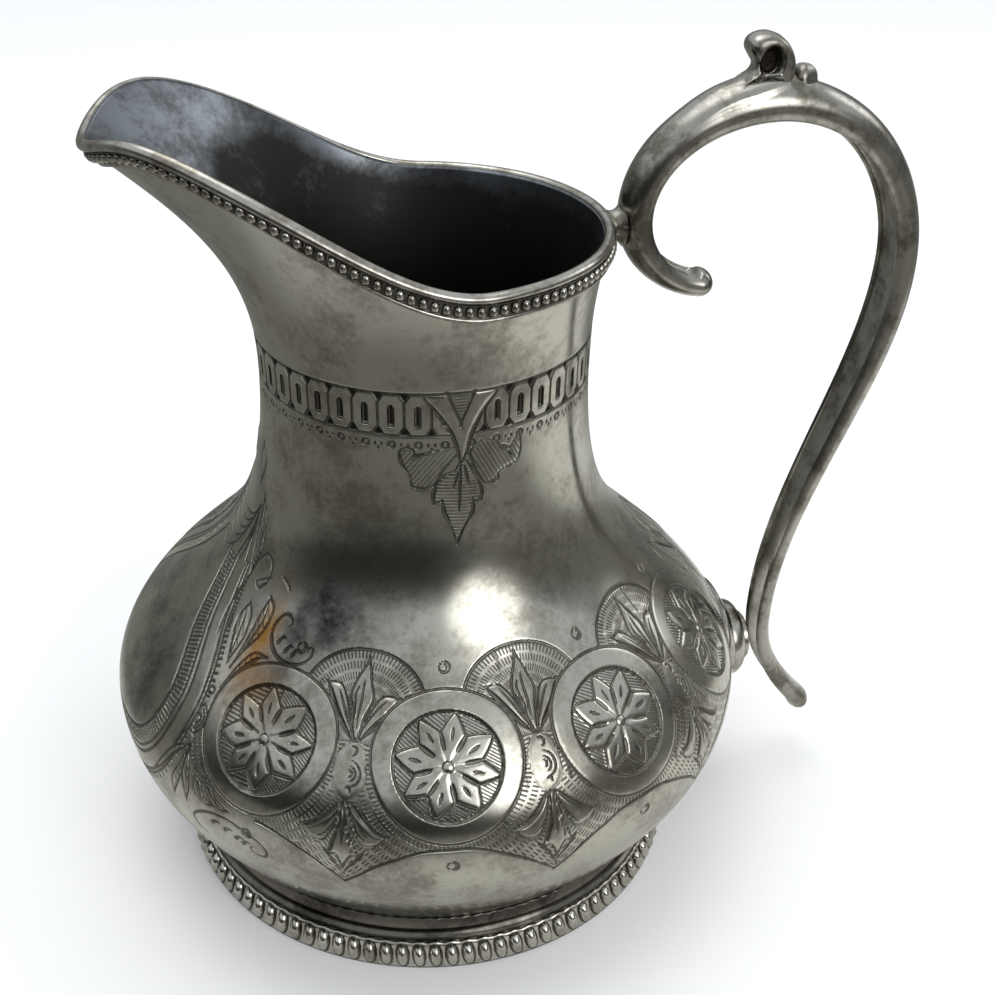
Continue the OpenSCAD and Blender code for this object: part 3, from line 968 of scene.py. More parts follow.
@dataclass
class Front:
    """The plain shield under the spout with its laddered strap and swags, and the scrolls beside it.

    Every place is (degrees from the spout, height in millimetres).
    """

    body: BodyForm
    middle: float = 30.0
    strap_w: float = 2.5
    rung: float = 0.55
    fine: float = 0.24
    bold: float = 0.36

    def flat(self, points: Points) -> Array:
        """Lays places on the wall out flat.

        Args:
            points: The places.

        Returns:
            Millimetres round and up the wall from the patch's middle line.
        """
        line, _, run = self.body.outline()
        a, z = np.asarray(points, float).T
        r = np.interp(z, line[:, 1], line[:, 0])
        return np.stack([np.radians(a - self.middle) * r, np.interp(z, line[:, 1], run)], -1)

    def carve(self, angle: Array, radius: Array, run: Array) -> Engraver:
        """Engraves the front.

        Args:
            angle: Angle of each point, folded to one side.
            radius: Radius of each point.
            run: Length up the wall to each point.

        Returns:
            The engraved patch.
        """
        e = Engraver(np.radians(angle - self.middle) * radius, run)
        self.shield(e)
        self.scrolls(e)
        self.sprays(e)
        return e

    def shield(self, e: Engraver) -> None:
        """Cuts the strap's ladder, the lines beside it and the swags above it.

        Args:
            e: The patch.
        """
        edge = spline(self.flat([(6, 51.4), (9, 48.5), (13.5, 45), (18, 42.3), (21, 40), (22.5, 37.5),
                                 (22, 34.5), (19, 31.6), (13, 29.9), (6, 29.2), (0, 29), (-5, 29.1)]))
        slope = np.gradient(edge, axis=0)
        slope /= np.linalg.norm(slope, axis=1, keepdims=True)
        out = np.stack([-slope[:, 1], slope[:, 0]], -1)
        for off, width in ((0, self.bold), (self.strap_w, self.fine), (3.4, self.bold), (6.0, self.bold),
                           (6.6, self.fine)):
            e.stroke((edge + off * out)[::4], width, Taper.EVEN)
        length = run_along(edge)
        ladder = (self.rung, self.rung, 0.25, self.strap_w - 0.2, 0.2)
        fringe = (2.0, 0.7, 6.8, 7.5, 0.26)
        for first, pitch, low, high, width in (ladder, fringe):
            for step in np.arange(first, length[-1], pitch):
                at = np.array([np.interp(step, length, edge[:, k]) for k in (0, 1)])
                across = np.array([np.interp(step, length, out[:, k]) for k in (0, 1)])
                e.stroke([at + low * across, at + high * across], width)
        for drop, foot in ((51.0, 6.0), (52.6, 7.4), (54.0, 8.6), (55.3, 9.8), (56.5, 11.0)):
            swag = [(13, 58.8), (foot + 1.5, drop + 1.8), (foot - 2, drop + 0.2), (0, drop - 0.6)]
            e.stroke(self.flat(swag), self.bold, Taper.TAIL)
        for low in ((11, 50.6), (14, 51.2), (17, 51.6)):
            e.stroke(self.flat([(13, 59), (12.6 + (low[0] - 11) / 4, 55.5), low]), self.bold)
        plume = [(14.5, 60.3), (14.5, 60.3), (18.5, 58.4), (20.5, 56), (22, 54), (21.5, 51.6), (21.5, 51.6),
                 (18.6, 53.4), (16, 56.2)]
        e.leaf(self.flat(plume), hatch=0.8, lean=60, pitch=0.6)
        lozenge = [(8, 67), (8, 67), (12, 65), (9, 61.5), (9, 61.5), (6, 64)]
        e.leaf(self.flat(lozenge), hatch=0.7, lean=70, pitch=0.6)

    def scrolls(self, e: Engraver) -> None:
        """Cuts the loop and its tail, the C scroll with its commas, and the feather below.

        Args:
            e: The patch.
        """
        lines = [
            ([(22.4, 53.2), (25, 54.6), (28.6, 54), (29.6, 52.2), (27.6, 50.8), (25, 51.4)], self.bold),
            ([(22.4, 53.2), (21.6, 50.6), (21.2, 48.6), (22, 46.6), (24, 44.8)], self.bold),
            ([(26, 51.4), (28.5, 52), (31, 52.6)], self.fine),
            ([(34, 53.4), (36.5, 53), (38.6, 52.3)], self.fine),
            ([(42.3, 48.8), (43.2, 49.4), (41.6, 50), (39.6, 49.7), (38.3, 48.4), (39.3, 47.2), (42, 46.2),
              (45.4, 45.8), (49, 46.1), (51.1, 46.9), (51.2, 47.7), (50.2, 47.8), (50.1, 47.2)], self.bold),
            ([(38.6, 22.6), (36.6, 23.2), (35.7, 24.9), (37.4, 26.6), (40.6, 27.9), (44.4, 28.2),
              (47.4, 27.6), (50.3, 26.6), (51.8, 25.3), (51.2, 24), (49.2, 23.9), (48.5, 24.8),
              (49.3, 25.2)], self.bold)]
        for points, width in lines:
            e.stroke(self.flat(points), width)
        commas = [(42.4, 47.6), (45.2, 47.1), (47.4, 47), (41.6, 26.6), (44.3, 26.4), (46.6, 25.8),
                  (48, 25.4)]
        for a, z in commas:
            e.stroke(self.flat([(a - 0.9, z - 0.4), (a - 0.2, z + 0.2), (a + 0.9, z + 0.2)]), 0.5, Taper.TAIL)
        e.pellet(self.flat([(32, 40.6)])[0], 0.5)

    def sprays(self, e: Engraver) -> None:
        """Cuts the acanthus leaves between the strap and the first medallion.

        Args:
            e: The patch.
        """
        leaves = [
            [(27.6, 49), (27.6, 49), (29.8, 48.3), (31, 47), (31.8, 45.8), (31.4, 43.6), (31.4, 43.6),
             (29.4, 45), (27.4, 46.4), (26.6, 47.6)],
            [(33.2, 50.6), (33.2, 50.6), (35.6, 50), (36.2, 48.4), (35.6, 46.8), (33.8, 45), (33, 43.4),
             (33, 43.4), (32.8, 46), (32.6, 48.4)],
            [(40.4, 45.5), (40.4, 45.5), (37.8, 44.9), (35.6, 43.4), (33.8, 41.4), (33.8, 41.4), (34.9, 43.9),
             (37, 45.4)],
            [(33.4, 34.8), (33.4, 34.8), (32.2, 32), (30.8, 29.4), (31.2, 27.2), (31.2, 27.2), (32.6, 29.6),
             (33.4, 32)],
            [(33.6, 34.8), (33.6, 34.8), (33.4, 31.6), (34.2, 29.2), (34.6, 27.4), (34.6, 27.4), (35.4, 29.8),
             (34.8, 32.4)],
            [(32.8, 34.6), (32.8, 34.6), (30, 32.4), (27.6, 29.8), (25.4, 28.4), (25.4, 28.4), (27.8, 31.4),
             (30.4, 33.8)],
            [(36.4, 32), (36.4, 32), (36.8, 30), (39, 28.9), (41, 29.2), (41, 29.2), (39, 30), (38, 31.6)],
            [(38.6, 31.8), (38.6, 31.8), (40, 30.2), (42.4, 29.2), (44.6, 29.6), (44.6, 29.6), (42, 30.4),
             (40.4, 31.8)]]
        for points in leaves:
            e.leaf(self.flat(points), hatch=0.5, lean=35, pitch=0.8)
        for points in ([(28, 48.4), (29.6, 46.4), (31, 44.2)], [(33.8, 50), (34.6, 47.8), (33.4, 44.6)],
                       [(39, 45.2), (36.4, 43.8), (34.4, 42)]):
            e.stroke(self.flat(points), self.fine)
        for size in (0.5, 1.0, 1.5):
            ring = [(32.4 + 1.35 * size * math.cos(b), 37.6 + size * math.sin(b))
                    for b in np.radians(range(-120, 130, 50))]
            e.stroke(self.flat(ring), self.fine)


@dataclass
class NeckBand:
    """A band of long eight-sided links round the neck, with a yoke and leaves on each side."""

    low: float = 75.8
    high: float = 81.5
    links: int = 42
    link_w: float = 1.55
    slot_w: float = 0.38
    slot_h: float = 1.45
    slot_low: float = 0.2
    corner: float = 0.62
    pellet_z: float = 74.5
    side: float = 90.7

    def carve(self, angle: Array, radius: Array, height: Array) -> Engraver:
        """Engraves the band.

        Args:
            angle: Angle of each point, folded to one side.
            radius: Radius of each point.
            height: Height of each point.

        Returns:
            The engraved patch.
        """
        rad = np.radians(1) * radius
        e = Engraver((angle - self.side) * rad, height)
        pitch = 360 / self.links
        lu = np.abs((angle + pitch / 2) % pitch - pitch / 2) * rad
        middle, half = (self.low + self.high) / 2, (self.high - self.low) / 2
        lz = np.abs(height - middle)
        link = np.maximum(np.maximum(lu - self.link_w, lz - half + 0.1), 0.8 * (lu + self.corner * lz - 2.55))
        band = lz < half
        e.relief = np.where(band, np.where(link < 0, 0.04, -0.16 * step_up(link, 0, 0.3)), 0)
        up = height - middle + self.slot_low
        slot_half = self.slot_w * step_up(self.slot_h + 0.3 - up, 0, 0.7)
        slot = np.maximum(lu - slot_half, np.abs(up) - self.slot_h)
        e.relief = np.where(slot < 0, -0.2, e.relief)
        e.etch(np.where(band, np.minimum(-link, slot), FAR))
        e.etch(np.minimum(np.abs(height - self.high) - 0.16, np.abs(height - self.low) - 0.14))
        self.pellets(e, angle, rad, pitch)
        self.pendant(e)
        return e

    def pellets(self, e: Engraver, angle: Array, rad: Array, pitch: float) -> None:
        """Punches a row of pellets and three-tick marks under the band.

        Args:
            e: The patch.
            angle: Angle of each point, folded to one side.
            rad: Millimetres to a degree at each point.
            pitch: Degrees from link to link.
        """
        ring = np.hypot(((angle + pitch / 2) % pitch - pitch / 2) * rad, e.v - self.pellet_z)
        e.etch(np.abs(ring - 0.42) - 0.1)
        mark = (angle % pitch - pitch / 2) * rad
        for du, dv in ((-0.42, 0.1), (0.42, 0.1), (0, -0.45)):
            spot = np.hypot((mark - du) * 1.6, (e.v - self.pellet_z + 0.1 - dv) * 0.8)
            e.etch(spot - 0.17)

    def pendant(self, e: Engraver) -> None:
        """Cuts the yoke across the band and the three leaves that hang from it.

        Args:
            e: The patch.
        """
        top, low = self.high - self.low, self.low
        yoke = [(-4.8, top), (-4.8, top), (-3.4, 3.8), (-2.2, 2.1), (-1.1, 0.2), (-0.35, -2.1), (0, -3.8),
                (0.5, -3.0), (0.85, -1.8), (1.35, 0.1), (2.2, 2.0), (3.1, 3.4), (4.9, top), (4.9, top),
                (1.7, top), (1.7, top), (0.05, 1.6), (0.05, 1.6), (-1.7, top), (-1.7, top)]
        left = [(-0.5, -2.0), (-1.4, -1.75), (-2.8, -2.0), (-4.6, -2.4), (-5.9, -2.9), (-5.9, -2.9),
                (-5.7, -2.1), (-6.4, -1.65), (-7.3, -1.85), (-7.6, -2.7), (-7.3, -4.0), (-6.7, -4.8),
                (-6.3, -5.6), (-6.1, -6.9), (-6.1, -6.9), (-4.8, -7.2), (-3.9, -7.1), (-3.0, -6.3),
                (-2.5, -5.2), (-1.6, -4.0), (-0.5, -2.8)]
        right = [(1.2, -2.6), (2.0, -1.5), (3.4, -1.25), (4.6, -1.7), (5.3, -2.5), (6.5, -3.1), (6.5, -3.1),
                 (7.0, -2.4), (7.9, -1.2), (7.9, -1.2), (8.2, -3.2), (7.8, -4.9), (7.0, -5.5), (6.1, -5.6),
                 (5.0, -6.2), (4.95, -7.0), (4.3, -7.4), (3.1, -7.1), (2.5, -6.5), (1.8, -5.2), (1.3, -3.6)]
        leaf = [(0, -3.6), (-0.6, -4.8), (-1.8, -5.3), (-2.7, -6.0), (-3.3, -7.0), (-3.6, -8.4), (-3.4, -9.4),
                (-3.4, -9.4), (-2.4, -8.9), (-2.4, -8.9), (-2.15, -10.4), (-1.6, -11.9), (-1.1, -13.2),
                (-0.7, -14.7), (-0.7, -14.7), (0, -13.2), (0.7, -12.0), (1.4, -10.8), (1.5, -9.0),
                (1.5, -9.0), (2.0, -9.6), (2.6, -9.3), (2.75, -8.2), (2.4, -7.0), (1.6, -5.3), (0.75, -3.7)]
        wedge = [(-1.6, top), (-1.6, top), (1.6, top), (1.6, top), (0.05, 1.7), (0.05, 1.7)]
        for points, rise, edge, hatch, lean, pitch in (
                (left, 0.05, 0.12, 0.75, -40, 0.5), (right, 0.05, 0.12, 0.75, 29, 0.5),
                (leaf, 0.08, 0.14, 0.6, 86, 0.44), (yoke, 0.12, 0.16, 0.0, 0, 1.0),
                (wedge, 0.0, 0.14, 1.0, 90, 0.42)):
            e.leaf(np.add(points, (0, low)), rise, edge, hatch, lean, pitch)
        cuts = [
            ([(-4.7, top - 0.3), (-3.4, 3.8), (-2.2, 2.1), (-1.1, 0.2), (-0.35, -2.1), (0, -3.8)], 0.46),
            ([(4.7, top - 0.3), (3.2, 3.5), (2.3, 2.0), (1.5, 0.1), (1.0, -1.9), (0.9, -2.9)], 0.36),
            ([(3.0, 3.0), (2.0, 1.6), (1.2, -0.2), (0.7, -2.4)], 0.22),
            ([(-5.9, -2.9), (-5.3, -2.6), (-4.4, -2.4)], 0.34),
            ([(-7.5, -2.3), (-7.4, -3.5), (-6.7, -4.7)], 0.36),
            ([(-7.2, -1.8), (-6.4, -1.65), (-5.7, -2.1)], 0.26),
            ([(-6.1, -6.9), (-4.9, -7.2), (-4.0, -7.05)], 0.38),
            ([(-3.7, -7.0), (-3.1, -6.4), (-2.6, -5.6)], 0.28),
            ([(5.2, -2.4), (5.9, -2.8), (6.6, -3.1)], 0.5),
            ([(6.0, -5.6), (6.6, -5.6), (7.1, -5.4)], 0.32), ([(3.0, -7.1), (4.1, -7.1), (4.9, -6.6)], 0.42),
            ([(1.2, -2.6), (1.5, -4.2), (1.9, -5.3), (2.7, -6.7)], 0.38), ([(6.9, -4.2), (6.2, -3.4)], 0.22),
            ([(-3.1, -6.8), (-3.5, -8.2), (-3.3, -9.3)], 0.42),
            ([(-2.3, -9.1), (-2.1, -10.6), (-1.5, -11.9)], 0.44),
            ([(2.5, -7.1), (2.7, -8.4), (2.1, -9.5)], 0.42),
            ([(1.5, -9.2), (1.5, -10.5), (0.8, -11.9)], 0.46),
            ([(0, -3.8), (-0.1, -7.0), (-0.3, -10.6)], 0.32),
            ([(0.45, -4.2), (0.75, -5.6), (1.0, -7.0)], 0.3),
            ([(-0.3, -5.0), (-0.6, -6.2), (-1.0, -7.3)], 0.18)]
        for points, width in cuts:
            e.stroke(np.add(points, (0, low)), width)


@dataclass
class Body:
    """The raised sheet vessel with its engraved wall.

    Its tint and shade patches are listed as layer (0 amber, 1 blue-black painted dark reflection, 2 dull),
    angle, height, spread and depth.
    """

    form: BodyForm
    belly_zone: Pair = (19.0, 52.0)
    neck_zone: Pair = (58.0, 82.4)
    front_zone: Pair = (18.0, 70.0)
    front_angle: float = 60.0
    frieze_low: float = 20.5
    frieze_high: float = 60.0
    band_top: float = 83.0
    spout_rows: int = 46
    throat_rows: int = 40
    hollow_rows: int = 70
    under_radii: tuple[float, ...] = (0.0, 12.0, 24.0, 33.0, 34.0)
    floor_radii: tuple[float, ...] = (33.2, 31.0, 22.0, 11.0, 0.0)
    cut_depth: float = 0.13
    brink: float = 0.4
    brink_spout: float = 16.0
    brink_angle: float = 30.0
    # Rows of layer 1 are painted dark reflections.
    toning: tuple[tuple[float, ...], ...] = (
        (0, 37, 47, 3.2, 5, 0.85), (0, 41, 43, 6, 2.6, 0.4), (1, 54, 52, 10, 5, 0.8), (1, 66, 55, 8, 5, 0.5),
        (1, 46, 50, 5, 6, 0.7), (1, 14, 38, 6, 6, 0.4), (1, 245, 50, 16, 6, 0.5), (0, 300, 45, 10, 8, 0.25),
        (2, 58, 66, 42, 9, 0.7), (2, 250, 66, 70, 9, 0.6), (2, 60, 90, 50, 8, 0.6))

    def rows(self) -> dict[str, Array]:
        """Places every row of the wall, from under the floor over the rim to the floor's top.

        Returns:
            Points of the whole wall, and for its outside the angle, radius, height and run of each.
        """
        f = self.form
        angle = 360 * np.arange(f.columns) / f.columns
        points, normals, run = f.outline()
        neck_run = run[-1]

        def at(length: Array, off: float = 0.0) -> tuple[Array, Array]:
            """Radius and height at lengths along the outline, some way off it.

            Args:
                length: The lengths.
                off: How far outside it.

            Returns:
                Radii and heights.
            """
            r = np.interp(length, run, points[:, 0]) + off * np.interp(length, run, normals[:, 0])
            z = np.interp(length, run, points[:, 1]) + off * np.interp(length, run, normals[:, 1])
            return r, z

        def run_at(z: float) -> float:
            """Length along the outline at a height."""
            return float(np.interp(z, points[:, 1], run))

        plain, frieze = run_at(self.frieze_low), run_at(self.frieze_high)
        lengths = np.concatenate([
            [0, 0.12, 0.4], np.arange(f.coarse, plain, f.coarse), np.arange(plain, frieze, f.fine),
            np.linspace(frieze, neck_run, int((neck_run - frieze) / f.fine))])
        r, z = at(lengths)
        outer = around(angle, r[:, None], z[:, None])
        ribs = f.ribs(angle)
        ones = np.ones((1, f.columns))
        t = np.linspace(0, 1, 120)
        sample = bezier(ribs[:, None], t[:, None] * ones)
        low = np.arange(f.neck_z + f.fine, self.band_top, f.fine)
        high = np.linspace(0, 1, self.spout_rows)
        heights = np.vstack([low[:, None] * ones,
                             self.band_top + high[:, None] * (f.rim_rise(angle) - self.band_top)])
        places = np.stack([np.interp(heights[:, i], sample[:, i, 1], t) for i in range(f.columns)], 1)
        upper = bezier(ribs[:, None], places)
        spout = around(angle, upper[..., 0], upper[..., 1])
        back = np.linspace(1, 0.03, self.throat_rows)[:, None] * ones
        lean = bezier_slope(ribs[:, None], back)
        inner = bezier(ribs[:, None], back) - f.wall * right_of(lean)
        inner = np.concatenate([inner[:1] + f.tuck * lean[:1], inner])
        throat = around(angle, inner[..., 0], inner[..., 1])
        r_in, z_in = at(np.linspace(neck_run, 0.6, self.hollow_rows), -f.wall)
        keep = z_in > f.foot_h + f.wall
        hollow = around(angle, r_in[keep][:, None], z_in[keep][:, None])
        under = around(angle, np.array(self.under_radii)[:, None], f.foot_h)
        floor = around(angle, np.array(self.floor_radii)[:, None], f.foot_h + f.wall)
        radius = np.vstack([r[:, None] * ones, upper[..., 0]])
        height = np.vstack([z[:, None] * ones, upper[..., 1]])
        length = np.vstack([lengths[:, None] * ones, neck_run + upper[..., 1] - f.neck_z])
        return {"wall": np.concatenate([under, outer, spout, throat, hollow, floor]),
                "start": len(under), "stop": len(under) + len(outer) + len(spout),
                "angle": np.minimum(angle, 360 - angle) * np.ones((len(radius), 1)),
                "radius": radius, "height": height, "run": length, "zero": run_at(Frieze().centre_z)}

    @staticmethod
    def normals(wall: Array) -> Array:
        """Outward normals of the whole wall, the same on both sides of each seam.

        Args:
            wall: Its points, in rows and columns.

        Returns:
            A unit vector for each point.
        """
        along = np.roll(wall, -1, 1) - np.roll(wall, 1, 1)
        up = np.gradient(wall, axis=0)
        n = np.cross(along, up)
        size = np.linalg.norm(n, axis=-1, keepdims=True)
        n = n / np.maximum(size, 1e-12)
        n[0] = (0, 0, -1)
        n[-1] = (0, 0, 1)
        return n

    def build(self) -> list[Piece]:
        """Makes the wall's sectors.

        Returns:
            The pieces.
        """
        f = self.form
        data = self.rows()
        cut, relief, hatch = self.engrave(data)
        wall = data["wall"]
        first, last = data["start"], data["stop"]
        wall[first:last] += relief[..., None] * self.normals(wall)[first:last]
        normal = self.normals(wall)
        full_cut, full_hatch = np.full(wall.shape[:2], FAR), np.zeros(wall.shape)
        full_cut[first:last], full_hatch[first:last] = cut, hatch
        tint_and_shade = self.tints_and_shades(data)
        outside, inside = ENGRAVED.material(), INSIDE_PAINTED_SHADE.material()
        pieces = []
        for k in range(f.sectors):
            mesh, i, j = self.sector(k, wall)
            mesh.normals_split_custom_set_from_vertices(normal[j, i])
            set_field(mesh, "cut", full_cut[j, i])
            set_field(mesh, "hatch", full_hatch[j, i])
            set_field(mesh, "tint_and_shade", tint_and_shade[j, i])
            piece = add_piece(mesh, ["body"], [outside, inside])
            corner = np.empty(len(mesh.polygons) * 4, int)
            mesh.polygons.foreach_get("vertices", corner)
            within = j[corner].reshape(-1, 4).min(1) >= last - 1
            mesh.polygons.foreach_set("material_index", within.astype(int))
            pieces.append(piece)
        return pieces

    def sector(self, k: int, wall: Array) -> tuple[Mesh, Array, Array]:
        """Makes one sector's mesh.

        Args:
            k: The sector's number.
            wall: The whole wall's points, in rows and columns.

        Returns:
            The mesh, and the wall's column and row at each of its points.
        """
        f = self.form
        grid: dict[str, Array] = {}

        def place(i: Array, j: Array) -> Array:
            """Points of the wall at the sector's own columns and rows."""
            grid["i"], grid["j"] = (k * f.sector_columns + i) % f.columns, j
            return wall[j, grid["i"]]

        mesh = grid_mesh(f"body_wall_{k + 1}", f.sector_columns, len(wall) - 1, place)
        return mesh, grid["i"], grid["j"]

    def engrave(self, data: dict[str, Array]) -> tuple[Array, Array, Array]:
        """Cuts the frieze, the neck band and the front.

        Args:
            data: What rows() gives.

        Returns:
            Distance from the cuts, height of the relief and ruling of the hatching at each outside point.
        """
        angle, radius, height, run = (data[key] for key in ("angle", "radius", "height", "run"))
        cut, relief = np.full(radius.shape, FAR), np.zeros(radius.shape)
        hatch = np.zeros(radius.shape + (3,))
        belly, neck, near = ((height > low) & (height < high)
                             for low, high in (self.belly_zone, self.neck_zone, self.front_zone))
        frieze = Frieze().carve(angle[belly], radius[belly], run[belly], data["zero"])
        band = NeckBand().carve(angle[neck], radius[neck], height[neck])
        for where, patch in ((belly, frieze), (neck, band)):
            cut[where], relief[where], hatch[where] = patch.cut, patch.relief, patch.hatch
        near &= angle < self.front_angle
        patch = Front(self.form).carve(angle[near], radius[near], run[near])
        cut[near] = np.minimum(cut[near], patch.cut)
        relief[near] += patch.relief
        hatch[near] = np.where(patch.hatch[:, 2:] > 0, patch.hatch, hatch[near])
        return cut, relief - self.cut_depth * step_up(0.1 - cut, 0.0, 0.28), hatch

    def tints_and_shades(self, data: dict[str, Array]) -> Array:
        """Lays soft amber and dull patches and painted dark reflections outside, and painted shade deep
        inside.

        Args:
            data: What rows() gives.

        Returns:
            Amber, blue-black and dull shares at each point of the wall.
        """
        f = self.form
        wall, first, last = data["wall"], data["start"], data["stop"]
        tint_and_shade = np.zeros(wall.shape)
        turn = 360 * np.arange(f.columns) / f.columns
        for layer, a, z, wide, tall, depth in self.toning:
            off = (turn - a + 180) % 360 - 180
            spot = np.exp(-(off / wide) ** 2 - ((data["height"] - z) / tall) ** 2)
            tint_and_shade[first:last, :, layer] = np.maximum(tint_and_shade[first:last, :, layer], depth * spot)
        # Painted shade inside: the blue-black share grows with depth below the rim, starting deeper near the
        # spout.
        brink = self.brink + self.brink_spout * np.exp(-(data["angle"][0] / self.brink_angle) ** 2)
        below = f.rim_rise(turn) - wall[last:, :, 2] - brink
        tint_and_shade[last:, :, 1] = step_up(below, -1.5, 3)
        return tint_and_shade


# Rim and foot


@dataclass
class RimBorder:
    """The rolled edge and the beaded strip round the rim."""

    body: BodyForm
    roll_r: float = 0.6
    roll_w: float = 0.76
    strip_h: float = 2.6
    fillet: float = 0.5
    beads: int = 132
    bead_rise: float = 0.7
    bead_seat: float = 0.3
    bead_w: float = 1.16
    bead_h: float = 1.66
    ground: float = 0.42
    bead_faces: tuple[int, int] = (10, 6)
    rim_steps: int = 2881
    columns: int = 528
    sides: int = 14

    def angles(self, count: int) -> Array:
        """Angles that lie evenly along the rim's length.

        Args:
            count: How many.

        Returns:
            The angles.
        """
        turn = np.linspace(0, 360, self.rim_steps)
        run = run_along(around(turn, self.body.rim_reach(turn), self.body.rim_rise(turn)))
        return np.interp(run[-1] * np.arange(count) / count, run, turn)

    def section(self, angle: Array, height: Array, off: Array) -> Array:
        """Points on the strip.

        Args:
            angle: Angles from the spout.
            height: Heights above the strip's lower edge.
            off: Distances off the wall.

        Returns:
            A point for each.
        """
        ribs = self.body.ribs(angle)
        start = 1 - self.strip_h / (3 * np.linalg.norm(ribs[3] - ribs[2], axis=-1))
        t = start + (1 - start) * height / self.strip_h
        q = bezier(ribs, t) + np.asarray(off)[..., None] * right_of(bezier_slope(ribs, t))
        return around(angle, q[..., 0], q[..., 1])

    def build(self) -> list[Piece]:
        """Makes the roll, and the strip with its beads.

        Returns:
            The pieces.
        """
        angle = self.angles(self.columns)

        def roll(i: Array, j: Array) -> Array:
            """Points of the roll.

            Args:
                i: Numbers round the rim.
                j: Numbers round the section.

            Returns:
                A point for each.
            """
            a = angle[i % self.columns]
            ribs = self.body.ribs(a)
            up = bezier_slope(ribs, np.ones_like(a))
            out = right_of(up)
            centre = ribs[3] + 0.8 * self.roll_r * up + (self.roll_w - self.body.wall) * out
            b = (math.tau * j / self.sides)[:, None]
            q = centre + self.roll_w * np.cos(b) * out + self.roll_r * np.sin(b) * up
            return around(a, q[..., 0], q[..., 1])

        plate = BEADS.material()
        mesh = grid_mesh("rim_roll", self.columns, self.sides, roll, closed=True)
        pieces = [add_piece(mesh, ["rim_roll"], [plate])]
        heights = np.array([0.0, 0.0, 0.12, 0.42, 0.55, self.strip_h - 0.3, self.strip_h, self.strip_h])
        offs = np.array([0.04, 0.5, 0.68, 0.6, 0.34, 0.3, 0.45, 0.04])

        def strip(i: Array, j: Array) -> Array:
            """Points of the strip."""
            k = j % len(heights)
            return self.section(angle[i % self.columns], heights[k], offs[k])

        mesh = grid_mesh("rim_bead_border", self.columns, len(heights), strip, closed=True)
        add_beads(mesh, [self.bead(a) for a in self.angles(self.beads)], *self.bead_faces)
        self.darken(mesh)
        pieces.append(add_piece(mesh, ["rim_bead_border"], [plate]))
        return pieces

    def bead(self, angle: float) -> Matrix:
        """Places a bead on the strip.

        Args:
            angle: Its angle from the spout.

        Returns:
            What makes it from a ball of radius 1.
        """
        turn = np.array([angle])
        seat = self.bead_seat
        middle = mix(self.fillet, self.strip_h, 0.5)
        at, out = (Vector(self.section(turn, np.array([middle]), np.array([d]))[0]) for d in (seat, seat + 1))
        up = Vector(self.section(turn, np.array([middle + 0.3]), np.array([seat]))[0]) - at
        z, y = (out - at).normalized(), up.normalized()
        x = y.cross(z).normalized()
        base = Matrix((x, z.cross(x), z)).transposed().to_4x4()
        size = Matrix.Diagonal((self.bead_w / 2, self.bead_h / 2, self.bead_rise, 1))
        return Matrix.Scale(MM, 4) @ Matrix.Translation(at) @ base @ size

    def darken(self, mesh: Mesh) -> None:
        """Marks how far each point stands out of the strip's ground, where tarnish stays.

        Args:
            mesh: The strip with its beads.
        """
        p = mesh_points(mesh)
        ribs = self.body.ribs(np.degrees(np.arctan2(-p[:, 1], -p[:, 0])) % 360)
        place = np.stack([np.hypot(*p.T[:2]), p[:, 2]], -1)
        best = np.full(len(p), FAR_OFF)
        off = np.zeros(len(p))
        for share in np.linspace(0.6, 1, 40):
            t = np.full(len(p), share)
            d = place - bezier(ribs, t)
            gap = np.linalg.norm(d, axis=-1)
            nearer = gap < best
            best = np.where(nearer, gap, best)
            off = np.where(nearer, (d * right_of(bezier_slope(ribs, t))).sum(-1), off)
        set_field(mesh, "cut", np.where(off < self.ground, -0.1, (off - self.ground) * 1.2))


